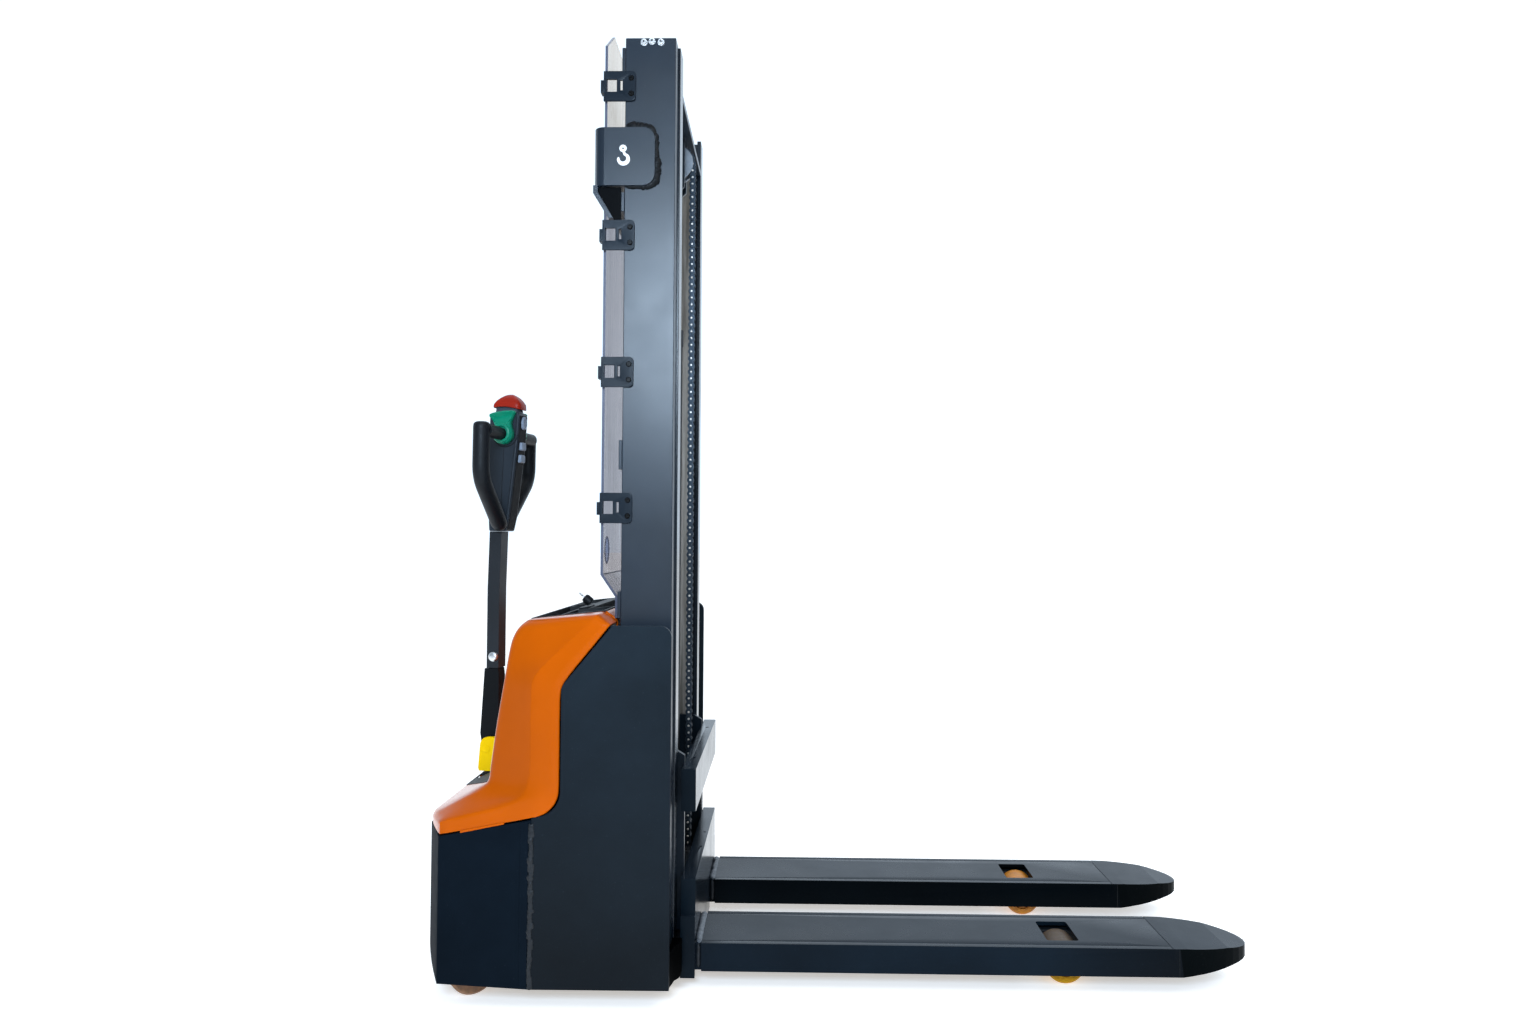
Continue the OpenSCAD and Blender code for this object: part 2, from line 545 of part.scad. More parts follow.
module castor_wheel(s) color([0.60, 0.33, 0.12]) castor(s) translate([-cas_trail, 0, castor_d / 2]) rotate([90, 0, 0]) rotate_extrude()
    polygon([[7.06, -24], [16, -24], [16, -18], [30, -18], [30, -20], [castor_d / 2 - 5, -20], [castor_d / 2, -15], [castor_d / 2, 15],
        [castor_d / 2 - 5, 20], [30, 20], [30, 18], [16, 18], [16, 24], [7.06, 24]]);
module castor_wheel_left() castor_wheel(1);
module castor_wheel_right() castor_wheel(-1);

part_frame() side_plates();
part_frame() rear_skirt();
part_frame() chassis_frame();
part_frame() support_legs();
part_frame() load_axles();
part_frame() load_roller_left();
part_frame() load_roller_right();
part_frame() outer_mast_rails();
part_frame() outer_mast_crossbeams();
part_frame() outer_mast_rollers();
part_frame() lifting_bracket();
part_frame() guard_panel();
part_frame() guard_brackets();
part_frame() guard_screws();
part_frame() mast_top_bolts();
part_frame() cylinder_barrels();
part_frame() lift_chain_rear();
part_frame() rear_cover();
part_frame() dash_tray();
part_frame() tiller_well();
part_frame() key_switch();
part_frame() key();
part_frame() emergency_button();
part_frame() battery_pack();
part_frame() pump_unit();
part_frame() motor_controller();
part_frame() inner_mast_rails();
part_frame() inner_mast_crossbeams();
part_frame() cylinder_rods();
part_frame() sheave();
part_frame() lift_chain_front();
part_frame() inner_mast_rollers();
part_frame() carriage_side_plates();
part_frame() carriage_upper_beam();
part_frame() carriage_lower_beam();
part_frame() chain_anchor();
part_frame() carriage_rollers_lower();
part_frame() carriage_rollers_upper();
part_frame() fork_left();
part_frame() fork_right();
part_frame() drive_gearbox();
part_frame() drive_motor();
part_frame() drive_hub();
part_frame() drive_tyre();
part_frame() tiller_base();
part_frame() tiller_bracket();
part_frame() tiller_arm();
part_frame() tiller_pins();
part_frame() tiller_head();
part_frame() handle_left();
part_frame() handle_right();
part_frame() belly_button();
part_frame() butterfly();
part_frame() horn_button();
part_frame() lift_button();
part_frame() lower_button();
part_frame() castor_fork_left();
part_frame() castor_fork_right();
part_frame() castor_wheel_left();
part_frame() castor_wheel_right();
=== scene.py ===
import json
import math
import random
import bpy
import bmesh
from mathutils import Matrix, Vector


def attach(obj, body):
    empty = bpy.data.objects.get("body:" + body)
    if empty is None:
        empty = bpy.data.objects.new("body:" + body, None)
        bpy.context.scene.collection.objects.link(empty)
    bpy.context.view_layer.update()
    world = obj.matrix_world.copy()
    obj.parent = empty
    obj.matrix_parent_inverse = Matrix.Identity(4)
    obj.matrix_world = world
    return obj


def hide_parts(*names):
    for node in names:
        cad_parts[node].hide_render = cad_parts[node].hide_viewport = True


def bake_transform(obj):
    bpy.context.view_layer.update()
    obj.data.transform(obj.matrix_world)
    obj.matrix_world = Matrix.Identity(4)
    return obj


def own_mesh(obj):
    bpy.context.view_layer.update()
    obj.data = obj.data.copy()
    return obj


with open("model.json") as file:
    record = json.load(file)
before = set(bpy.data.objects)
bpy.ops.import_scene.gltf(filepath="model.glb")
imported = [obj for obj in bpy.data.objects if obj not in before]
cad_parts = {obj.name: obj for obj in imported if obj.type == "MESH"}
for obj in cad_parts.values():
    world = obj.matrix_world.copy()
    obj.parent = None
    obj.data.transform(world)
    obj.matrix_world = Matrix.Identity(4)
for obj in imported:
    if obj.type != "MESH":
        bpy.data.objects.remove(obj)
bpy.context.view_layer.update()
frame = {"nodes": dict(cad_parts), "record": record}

NODES = frame["nodes"]
BODY = {n: b for b, ns in frame["record"]["behaviour"]["bodies"].items() for n in ns}
random.seed(7)

OX = 301.0
YAW = math.radians(-9.2)
SX = -430.0


def P(x, y, z):
    """Millimetres from the fork face to metres in the row frame."""
    return Vector(((x - OX) / 1000.0, y / 1000.0, z / 1000.0))


def S(x, y, z):
    """Millimetres from the steering axis, in the turned tiller's own directions, to metres in the row frame."""
    c, s = math.cos(YAW), math.sin(YAW)
    return P(SX + x * c - y * s, x * s + y * c, z)


# ---------------------------------------------------------------- materials


class Mat:
    """A Principled material with helpers for noise, colour variation and bump."""

    def __init__(self, name, color, rough=0.5, metal=0.0, spec=0.5, coat=0.0, coat_rough=0.2):
        self.m = bpy.data.materials.new(name)
        self.m.use_nodes = True
        self.t = self.m.node_tree
        self.n = self.t.nodes
        self.l = self.t.links
        self.b = next(x for x in self.n if x.type == "BSDF_PRINCIPLED")
        self.b.inputs["Base Color"].default_value = (*color, 1)
        self.b.inputs["Roughness"].default_value = rough
        self.b.inputs["Metallic"].default_value = metal
        self.b.inputs["Specular IOR Level"].default_value = spec
        self.b.inputs["Coat Weight"].default_value = coat
        self.b.inputs["Coat Roughness"].default_value = coat_rough
        self.co = self.n.new("ShaderNodeTexCoord")
        self.height = None

    def noise(self, scale, detail=3.0, rough=0.5, stretch=None, dist=0.0):
        t = self.n.new("ShaderNodeTexNoise")
        t.inputs["Scale"].default_value = scale
        t.inputs["Detail"].default_value = detail
        t.inputs["Roughness"].default_value = rough
        t.inputs["Distortion"].default_value = dist
        if stretch:
            mp = self.n.new("ShaderNodeMapping")
            mp.inputs["Scale"].default_value = stretch
            self.l.new(self.co.outputs["Object"], mp.inputs["Vector"])
            self.l.new(mp.outputs["Vector"], t.inputs["Vector"])
        else:
            self.l.new(self.co.outputs["Object"], t.inputs["Vector"])
        return t.outputs["Fac"]

    def ramp(self, fac, *stops):
        r = self.n.new("ShaderNodeValToRGB")
        e = r.color_ramp.elements
        while len(e) < len(stops):
            e.new(0.5)
        for el, (p, c) in zip(e, stops):
            el.position = p
            el.color = (*c, 1) if len(c) == 3 else c
        self.l.new(fac, r.inputs["Fac"])
        return r.outputs["Color"]

    def color(self, out):
        self.l.new(out, self.b.inputs["Base Color"])
        return self

    def mixcolor(self, fac, a, b):
        """Mix of two colours or sockets by fac."""
        x = self.n.new("ShaderNodeMix")
        x.data_type = "RGBA"
        if isinstance(fac, (int, float)):
            x.inputs[0].default_value = fac
        else:
            self.l.new(fac, x.inputs[0])
        for i, v in ((6, a), (7, b)):
            if isinstance(v, tuple):
                x.inputs[i].default_value = (*v, 1)
            else:
                self.l.new(v, x.inputs[i])
        return x.outputs[2]

    def remap(self, fac, a, b, lo, hi):
        m = self.n.new("ShaderNodeMapRange")
        m.inputs["From Min"].default_value = a
        m.inputs["From Max"].default_value = b
        m.inputs["To Min"].default_value = lo
        m.inputs["To Max"].default_value = hi
        self.l.new(fac, m.inputs["Value"])
        return m.outputs["Result"]

    def roughness(self, fac, lo, hi, a=0.3, b=0.7):
        self.l.new(self.remap(fac, a, b, lo, hi), self.b.inputs["Roughness"])
        return self

    def bump(self, fac, strength, dist):
        x = self.n.new("ShaderNodeBump")
        x.inputs["Strength"].default_value = strength
        x.inputs["Distance"].default_value = dist
        self.l.new(fac, x.inputs["Height"])
        if self.height is not None:
            self.l.new(self.height, x.inputs["Normal"])
        self.height = x.outputs["Normal"]
        self.l.new(self.height, self.b.inputs["Normal"])
        return self

    def edges(self, base, lift, lo=0.52, hi=0.62):
        """Lighter worn edges where the mesh turns outwards."""
        g = self.n.new("ShaderNodeNewGeometry")
        f = self.remap(g.outputs["Pointiness"], lo, hi, 0.0, 1.0)
        return self.mixcolor(f, base, lift)


def powder(name, color, lift=1.35, rough=(0.30, 0.42), grain=0.10, spec=0.30, painted_shade=None):
    """Satin powder coat: fine orange peel, faint clouds, a little dust; the optional shade ramp darkens the coat along
    one axis as painted shade.
    """
    m = Mat(name, color, rough=0.4, spec=spec)
    clouds = m.noise(3.5, 4, 0.6)
    a = tuple(c * 0.82 for c in color)
    b = tuple(c * lift for c in color)
    col = m.ramp(clouds, (0.32, a), (0.68, b))
    # painted shade: a darker copy of the coat mixed in along one axis
    if painted_shade:
        sep = m.n.new("ShaderNodeSeparateXYZ")
        m.l.new(m.co.outputs["Object"], sep.inputs["Vector"])
        shaded = m.ramp(clouds, (0.32, tuple(c * painted_shade[2] for c in a)), (0.68, tuple(c * painted_shade[2] for c in b)))
        col = m.mixcolor(m.remap(sep.outputs[painted_shade[3] if len(painted_shade) > 3 else "Z"], painted_shade[0], painted_shade[1], 0.0, 1.0), shaded, col)
    dust = m.noise(190, 2, 0.6)
    col = m.mixcolor(m.remap(dust, 0.66, 0.80, 0.0, 0.35), col, tuple(min(1, c * 2.2 + 0.012) for c in color))
    m.color(col)
    m.roughness(m.noise(9, 5, 0.65), rough[0], rough[1])
    m.bump(m.noise(620, 2, 0.5), grain, 0.0006)
    m.bump(m.noise(60, 2, 0.5), grain * 0.5, 0.0008)
    return m.m


def moulded(name, color, rough=(0.42, 0.55), grain=0.2, scale=900, lift=1.12, spec=0.4, painted_light=None):
    """Moulded plastic: fine spark-eroded grain and slight shade changes; the optional light ranges mix in a lighter
    copy along given axes as painted light.
    """
    m = Mat(name, color, rough=0.5, spec=spec)
    a = tuple(c * 0.94 for c in color)
    b = tuple(min(1, c * lift) for c in color)
    shade = m.noise(6, 4, 0.55)
    col = m.ramp(shade, (0.30, a), (0.70, b))
    if painted_light:
        sep = m.n.new("ShaderNodeSeparateXYZ")
        m.l.new(m.co.outputs["Object"], sep.inputs["Vector"])
        part = None
        for axis, lo, hi, k in painted_light:
            f = m.remap(sep.outputs[axis], lo, hi, 0.0, k)
            if part is not None:
                add_ = m.n.new("ShaderNodeMath")
                m.l.new(part, add_.inputs[0])
                m.l.new(f, add_.inputs[1])
                f = add_.outputs[0]
            part = f
        # lighter copy of the colour, mixed in over the given ranges: painted light
        light = m.ramp(shade, (0.30, tuple(min(1, c * 1.24) for c in a)), (0.70, tuple(min(1, c * 1.24) for c in b)))
        col = m.mixcolor(part, col, light)
    m.color(col)
    m.roughness(m.noise(40, 4, 0.6), rough[0], rough[1])
    v = m.n.new("ShaderNodeTexVoronoi")
    v.inputs["Scale"].default_value = scale
    m.l.new(m.co.outputs["Object"], v.inputs["Vector"])
    m.bump(v.outputs["Distance"], grain, 0.0003)
    return m.m


def metal(name, color, rough=(0.22, 0.40), scale=(1, 1, 1), grain=0.08):
    m = Mat(name, color, rough=0.3, metal=1.0)
    n = m.noise(70, 4, 0.6, stretch=scale)
    a = tuple(c * 0.78 for c in color)
    m.color(m.ramp(n, (0.30, a), (0.65, color)))
    m.roughness(m.noise(160, 3, 0.6, stretch=scale), rough[0], rough[1])
    m.bump(m.noise(500, 2, 0.5, stretch=scale), grain, 0.0003)
    return m.m


PAINT = powder("chassis_paint", (0.0040, 0.0084, 0.0142), rough=(0.32, 0.40), grain=0.08, spec=0.14)
# side plates: paint darkened towards the bottom, painted shade
PAINT_SIDE = powder("side_paint", (0.0084, 0.0140, 0.0200), rough=(0.34, 0.42), grain=0.08, spec=0.072, painted_shade=(0.10, 0.80, 0.42))
PAINT_MAST = powder("mast_paint", (0.0050, 0.0105, 0.0185), rough=(0.28, 0.34), grain=0.05, spec=0.40)
PAINT_FORK = powder("fork_paint", (0.0026, 0.0062, 0.0112), rough=(0.24, 0.33), grain=0.05, spec=0.11)
PAINT_SKIRT = powder("skirt_paint", (0.0034, 0.0066, 0.0110), rough=(0.55, 0.66), grain=0.10, spec=0.015)
PAINT_ARM = powder("arm_paint", (0.0100, 0.0128, 0.0165), rough=(0.40, 0.50), grain=0.08, spec=0.25)
# far fork sides: a darker copy of the fork paint, painted shade
PAINT_FAR_SHADE = powder("far_fork_side_painted_shade", (0.0010, 0.0021, 0.0031), rough=(0.30, 0.40), grain=0.06, spec=0.02)
# near fork sides: fork paint darkened towards the tip, painted shade
PAINT_FSIDE_SHADE = powder("fork_side_painted_shade", (0.0026, 0.0066, 0.0116), rough=(0.30, 0.38), grain=0.05, spec=0.055, painted_shade=(0.70, 0.40, 0.35, "X"))
# fork nose sides: a near-black copy of the fork paint, painted shade
PAINT_NOSE_SHADE = powder("fork_nose_painted_shade", (0.0010, 0.0018, 0.0022), rough=(0.34, 0.44), grain=0.06, spec=0.015)
# mast toes: near-black copy of the coat, painted shade
PAINT_TOE_SHADE = powder("toe_painted_shade", (0.0004, 0.0005, 0.0006), rough=(0.55, 0.66), grain=0.08, spec=0.008)
# beam end faces: a darker copy of the beam paint, painted shade
PAINT_END_SHADE = powder("beam_end_painted_shade", (0.0026, 0.0058, 0.0094), rough=(0.30, 0.38), grain=0.05, spec=0.05)
PAINT_TOP = powder("far_fork_top_paint", (0.0026, 0.0062, 0.0112), rough=(0.24, 0.33), grain=0.05, spec=0.125)
PAINT_RAIL = powder("rail_paint", (0.0050, 0.0095, 0.0160), rough=(0.17, 0.24), grain=0.04, spec=0.45)
PAINT_BEAM = powder("beam_paint", (0.0046, 0.0084, 0.0138), rough=(0.17, 0.25), grain=0.05, spec=0.16)
# near-black paint for the recessed inner faces of the lifting bracket: painted shade
PAINT_RECESS_SHADE = powder("bracket_recess_painted_shade", (0.0016, 0.0020, 0.0026), rough=(0.55, 0.66), grain=0.10, spec=0.04)
PAINT_IN = powder("frame_paint", (0.0080, 0.0098, 0.0120), rough=(0.45, 0.6), spec=0.2)
# the orange turns to a lighter copy at the front flange, on the upper body and on the lower nose: painted light
ORANGE = moulded("orange_cover", (0.409, 0.0690, 0.0001), rough=(0.30, 0.38), grain=0.025, scale=1100, lift=1.05, spec=0.02,
                 painted_light=(("X", -0.635, -0.595, 0.5), ("Z", 0.600, 0.685, 0.5), ("Z", 0.440, 0.380, 0.5)))
for k, v in (("Coat Weight", 1.0), ("Coat IOR", 1.13), ("Coat Roughness", 0.16)):
    next(n for n in ORANGE.node_tree.nodes if n.type == "BSDF_PRINCIPLED").inputs[k].default_value = v
GUARD_EDGE = moulded("guard_edge", (0.070, 0.078, 0.115), rough=(0.30, 0.42), grain=0.02, spec=0.2)
BLACK = moulded("black_plastic", (0.0058, 0.0068, 0.0082), rough=(0.45, 0.6), grain=0.22, spec=0.22)
SCREW = moulded("black_screw", (0.0007, 0.0008, 0.0010), rough=(0.30, 0.40), grain=0.02, spec=0.10)
HEADP = moulded("head_plastic", (0.0150, 0.0215, 0.0300), rough=(0.40, 0.52), grain=0.16, spec=0.25)
DECK = moulded("deck_plastic", (0.0045, 0.0050, 0.0058), rough=(0.42, 0.52), grain=0.10, spec=0.05)
STRIP = moulded("strip_plastic", (0.0080, 0.0086, 0.0098), rough=(0.58, 0.70), grain=0.15, spec=0.12)
STRIP_D = moulded("bracket_plastic", (0.0036, 0.0046, 0.0058), rough=(0.45, 0.58), grain=0.12, spec=0.10)
GRIP = moulded("grip_plastic", (0.0036, 0.0052, 0.0074), rough=(0.42, 0.54), grain=0.3, scale=700, spec=0.20)
YELLOW = moulded("yellow_plastic", (1.0, 0.590, 0.0002), rough=(0.30, 0.42), grain=0.06, spec=0.06)
RED = moulded("red_plastic", (0.285, 0.013, 0.004), rough=(0.30, 0.42), grain=0.06, spec=0.16)
GREEN = moulded("green_plastic", (0.002, 0.210, 0.118), rough=(0.28, 0.40), grain=0.06, spec=0.2)
GREY = moulded("grey_rubber", (0.205, 0.245, 0.310), rough=(0.42, 0.55), grain=0.15, spec=0.25)
DGREY = moulded("grey_dome", (0.045, 0.055, 0.070), rough=(0.38, 0.5), grain=0.1)
ZINC = metal("zinc_bolts", (0.80, 0.81, 0.82))
STEEL = metal("bright_steel", (0.62, 0.63, 0.64), scale=(1, 1, 14))
ROLLER = metal("roller_steel", (0.42, 0.42, 0.43), rough=(0.30, 0.5))
CHAIN = metal("chain_steel", (0.040, 0.052, 0.066), rough=(0.32, 0.48))
SHEAVE = metal("sheave_steel", (0.30, 0.33, 0.37), rough=(0.30, 0.48))
PIN = metal("chain_pins", (0.66, 0.64, 0.60), rough=(0.34, 0.50))
CAST = powder("cast_iron", (0.050, 0.052, 0.056), rough=(0.5, 0.65), grain=0.35)
RUBBER = moulded("rubber", (0.018, 0.018, 0.019), rough=(0.6, 0.75), grain=0.3, scale=500)


def polyurethane(name, color, spec=0.4, dust=None):
    m = Mat(name, color, rough=0.42, spec=spec)
    scuff = m.noise(45, 5, 0.7, stretch=(1, 3, 1))
    col = m.ramp(scuff, (0.28, tuple(c * 0.55 for c in color)), (0.55, color), (0.75, tuple(min(1, c * 1.25) for c in color)))
    # with the dust argument the roller is grey-brown above 30-50 mm height and keeps its own colour below
    if dust:
        sep = m.n.new("ShaderNodeSeparateXYZ")
        m.l.new(m.co.outputs["Object"], sep.inputs["Vector"])
        col = m.mixcolor(m.remap(sep.outputs["Z"], 0.030, 0.050, 0.0, 1.0), col, dust)
    m.color(col)
    m.b.inputs["Subsurface Weight"].default_value = 0.12
    m.b.inputs["Subsurface Radius"].default_value = (0.006, 0.003, 0.001)
    m.roughness(scuff, 0.32, 0.55)
    m.bump(m.noise(300, 3, 0.6), 0.12, 0.0005)
    return m.m


PU_LOAD = polyurethane("load_roller_pu", (0.480, 0.170, 0.006))
# near load roller: grey-brown above 30-50 mm height
PU_GREY_TOP = polyurethane("load_roller_pu_grey_top", (0.520, 0.270, 0.008), spec=0.10, dust=(0.085, 0.060, 0.042))
PU_CAST = polyurethane("castor_pu", (0.230, 0.110, 0.050))


def roller_track(name):
    """Rail web rubbed bare by the rollers, with old grease drawn out along it."""
    m = Mat(name, (0.26, 0.25, 0.22), rough=0.5, spec=0.25)
    streak = m.noise(26, 5, 0.65, stretch=(1.6, 1, 0.10))
    bare = m.ramp(streak, (0.34, (0.150, 0.142, 0.128)), (0.52, (0.330, 0.322, 0.300)), (0.72, (0.520, 0.515, 0.495)))
    sep = m.n.new("ShaderNodeSeparateXYZ")
    m.l.new(m.co.outputs["Object"], sep.inputs["Vector"])
    m.color(m.mixcolor(m.remap(sep.outputs["X"], -0.372, -0.364, 0.0, 1.0), bare, (0.0060, 0.0105, 0.0170)))
    m.roughness(m.noise(60, 4, 0.6, stretch=(1, 1, 0.2)), 0.30, 0.62)
    m.bump(m.noise(180, 3, 0.6, stretch=(2, 1, 0.08)), 0.10, 0.0004)
    return m.m


TRACK = roller_track("roller_track")


def clear_sheet(name):
    """Clear guard sheet with a faint warm grey tint and fine vertical streaks; the tint is painted lighter and warmer
    towards the top and darker below the bend, as painted light and shade.
    """
    m = Mat(name, (0.62, 0.60, 0.57), rough=0.12, spec=0.5)
    out = next(x for x in m.n if x.type == "OUTPUT_MATERIAL")
    tr = m.n.new("ShaderNodeBsdfTransparent")
    streak = m.noise(30, 4, 0.6, stretch=(1, 3, 0.12))
    sep = m.n.new("ShaderNodeSeparateXYZ")
    m.l.new(m.co.outputs["Object"], sep.inputs["Vector"])
    # middle, top and foot tints: lighter and warmer at the top, darker at the foot, as painted light and shade
    low = m.ramp(streak, (0.25, (0.570, 0.548, 0.556)), (0.75, (0.722, 0.698, 0.708)))
    high = m.ramp(streak, (0.25, (0.80, 0.745, 0.69)), (0.75, (0.99, 0.925, 0.86)))
    foot = m.ramp(streak, (0.25, (0.480, 0.468, 0.484)), (0.75, (0.606, 0.594, 0.616)))
    low = m.mixcolor(m.remap(sep.outputs["Z"], 0.843, 0.849, 0.0, 1.0), foot, low)
    m.l.new(m.mixcolor(m.remap(sep.outputs["Z"], 1.62, 1.80, 0.0, 1.0), low, high), tr.inputs["Color"])
    mix = m.n.new("ShaderNodeMixShader")
    m.l.new(m.remap(m.noise(14, 5, 0.65, stretch=(1, 2, 0.2)), 0.3, 0.7, 0.10, 0.26), mix.inputs["Fac"])
    m.l.new(tr.outputs["BSDF"], mix.inputs[1])
    m.l.new(m.b.outputs["BSDF"], mix.inputs[2])
    m.l.new(mix.outputs["Shader"], out.inputs["Surface"])
    m.roughness(m.noise(80, 3, 0.6), 0.08, 0.22)
    return m.m


CLEAR = clear_sheet("clear_guard")


def translucent(name, tint, haze=0.16):
    """Coloured see-through plastic."""
    m = Mat(name, tint, rough=0.2, spec=0.4)
    out = next(x for x in m.n if x.type == "OUTPUT_MATERIAL")
    tr = m.n.new("ShaderNodeBsdfTransparent")
    tr.inputs["Color"].default_value = (*tint, 1.0)
    mix = m.n.new("ShaderNodeMixShader")
    mix.inputs["Fac"].default_value = haze
    m.l.new(tr.outputs["BSDF"], mix.inputs[1])
    m.l.new(m.b.outputs["BSDF"], mix.inputs[2])
    m.l.new(mix.outputs["Shader"], out.inputs["Surface"])
    return m.m


PLUG = translucent("guard_plug", (0.45, 0.47, 0.55))


def weld_paint(name, color, spec=0.4):
    m = Mat(name, color, rough=0.45, spec=spec)
    n = m.noise(120, 4, 0.7)
    m.color(m.ramp(n, (0.3, tuple(c * 0.7 for c in color)), (0.7, tuple(c * 1.7 + 0.004 for c in color))))
    m.roughness(m.noise(200, 3, 0.6), 0.3, 0.6)
    m.bump(m.noise(240, 3, 0.6), 0.35, 0.0012)
    return m.m


WELD = weld_paint("weld_bead", (0.0040, 0.0060, 0.0085), spec=0.28)
# darker bead: the weld's own dark colour, with painted shadow round the lifting bracket
WELD_DARK_AND_SHADE = weld_paint("bracket_bead_and_painted_shadow", (0.0028, 0.0036, 0.0046), spec=0.12)
WELD_L = weld_paint("fork_weld", (0.062, 0.070, 0.082))
WHITE_INK = moulded("white_mark", (0.78, 0.78, 0.78), rough=(0.4, 0.55), grain=0.1)

# ---------------------------------------------------------------- mesh helpers


def add(name, bm, mat, body, nodes=(), angle=32, mats=None):
    me = bpy.data.meshes.new(name)
    bm.normal_update()
    bm.to_mesh(me)
    bm.free()
    for mt in (mats or [mat]):
        me.materials.append(mt)
    me.shade_smooth()
    me.set_sharp_from_angle(angle=math.radians(angle))
    o = bpy.data.objects.new(name, me)
    bpy.context.scene.collection.objects.link(o)
    if body:
        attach(o, body)
    if nodes:
        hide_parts(*nodes)
    return o


def node_bm(node, joined=True):
    """A welded copy of a CAD node's mesh, with its flat faces joined up."""
    bm = bmesh.new()
    bm.from_mesh(NODES[node].data)
    bmesh.ops.remove_doubles(bm, verts=bm.verts, dist=2e-5)
    whole = sum(f.calc_area() for f in bm.faces)
    flat = bm.copy()
    bmesh.ops.dissolve_limit(flat, angle_limit=math.radians(0.6), verts=flat.verts, edges=flat.edges, delimit=set())
    tris = sum((t[1].vert.co - t[0].vert.co).cross(t[2].vert.co - t[0].vert.co).length / 2 for t in flat.calc_loop_triangles())
    if joined and abs(tris - whole) < 4e-5 * whole:        # otherwise an opening was closed over: keep the plain mesh
        bm.free()
        bm = flat
    bmesh.ops.recalc_face_normals(bm, faces=bm.faces)
    return bm


def bevel_mod(o, width, segments=2, limit=28):
    b = o.modifiers.new("edge", "BEVEL")
    b.width = width / 1000.0
    b.segments = segments
    b.limit_method = "ANGLE"
    b.angle_limit = math.radians(limit)
    b.use_clamp_overlap = True
    b.harden_normals = True
    b.miter_outer = "MITER_ARC"
    return o


def soften(node, mat, width=1.2, segments=2, limit=28, joined=True):
    """The CAD node as drawn, with its edges broken as on a made part."""
    o = add(node + "_body", node_bm(node, joined), mat, BODY[node], [node], angle=limit)
    return bevel_mod(o, width, segments, limit)


def paint(node, mat):
    """The CAD node's own mesh with a made material."""
    me = NODES[node].data
    me.materials.clear()
    me.materials.append(mat)


def loft(bm, rings, closed=True, cap=True):
    """Skin over rings of equal length."""
    vs = [[bm.verts.new(p) for p in r] for r in rings]
    n = len(rings[0])
    for a, b in zip(vs, vs[1:]):
        for i in range(n if closed else n - 1):
            j = (i + 1) % n
            bm.faces.new((a[i], a[j], b[j], b[i]))
    if cap and closed:
        bm.faces.new(list(reversed(vs[0])))
        bm.faces.new(vs[-1])
    return vs


def tube(bm, path, radius, n=20, flat=1.0, up=Vector((1, 0, 0)), caps=True):
    """Round tube along a path. radius may be a list; flat scales it along up."""
    rings = []
    for i, p in enumerate(path):
        a = path[max(0, i - 1)]
        b = path[min(len(path) - 1, i + 1)]
        t = (b - a).normalized()
        u = (up - t * up.dot(t)).normalized()
        w = t.cross(u)
        r = radius[i] if isinstance(radius, (list, tuple)) else radius
        rings.append([p + u * (math.cos(2 * math.pi * k / n) * r * flat) + w * (math.sin(2 * math.pi * k / n) * r) for k in range(n)])
    return loft(bm, rings, True, caps)


def lathe(bm, profile, centre, axis, n=32):
    """Turned shape. profile is (radius, distance along the axis) in metres."""
    axis = axis.normalized()
    u = axis.orthogonal().normalized()
    w = axis.cross(u)
    rings = []
    for r, d in profile:
        r = max(r, 1e-5)
        rings.append([centre + axis * d + (u * math.cos(2 * math.pi * k / n) + w * math.sin(2 * math.pi * k / n)) * r for k in range(n)])
    return loft(bm, rings, True, True)


def prism(bm, pts, depth, at):
    """Flat outline pushed out by depth; at maps (a, b, d) to a point."""
    lo = [bm.verts.new(at(a, b, 0.0)) for a, b in pts]
    hi = [bm.verts.new(at(a, b, depth)) for a, b in pts]
    n = len(pts)
    for i in range(n):
        j = (i + 1) % n
        bm.faces.new((lo[i], lo[j], hi[j], hi[i]))
    bm.faces.new(list(reversed(lo)))
    bm.faces.new(hi)


def subsurf(o, levels=2):
    s = o.modifiers.new("smooth", "SUBSURF")
    s.levels = levels
    s.render_levels = levels
    return o


# ---------------------------------------------------------------- carried-over nodes

soften("side_plates", PAINT_SIDE, 1.4, 3)
soften("rear_skirt", PAINT_SKIRT, 1.4, 3)
for n in ("chassis_frame",):
    soften(n, PAINT_IN, 1.0, 2)
soften("support_legs", PAINT_IN, 1.5, 2)
paint("load_axles", STEEL)
soften("load_roller_left", PU_LOAD, 1.2, 2)
soften("load_roller_right", PU_GREY_TOP, 1.2, 2)
soften("outer_mast_rails", PAINT_MAST, 1.6, 3)
rails = soften("inner_mast_rails", PAINT_RAIL, 1.6, 3)
rails.data.materials.append(TRACK)                # webs run on by the carriage rollers
for f in rails.data.polygons:
    if abs(abs(f.center.y) - 0.247) < 0.0015 and abs(f.normal.y) > 0.9:
        f.material_index = 1
soften("outer_mast_crossbeams", PAINT_MAST, 1.2, 2)
soften("inner_mast_crossbeams", PAINT_MAST, 1.2, 2)
for n in ("outer_mast_rollers", "inner_mast_rollers", "carriage_rollers_lower", "carriage_rollers_upper"):
    soften(n, ROLLER, 1.0, 2)
sling = soften("lifting_bracket", PAINT_MAST, 1.2, 2)
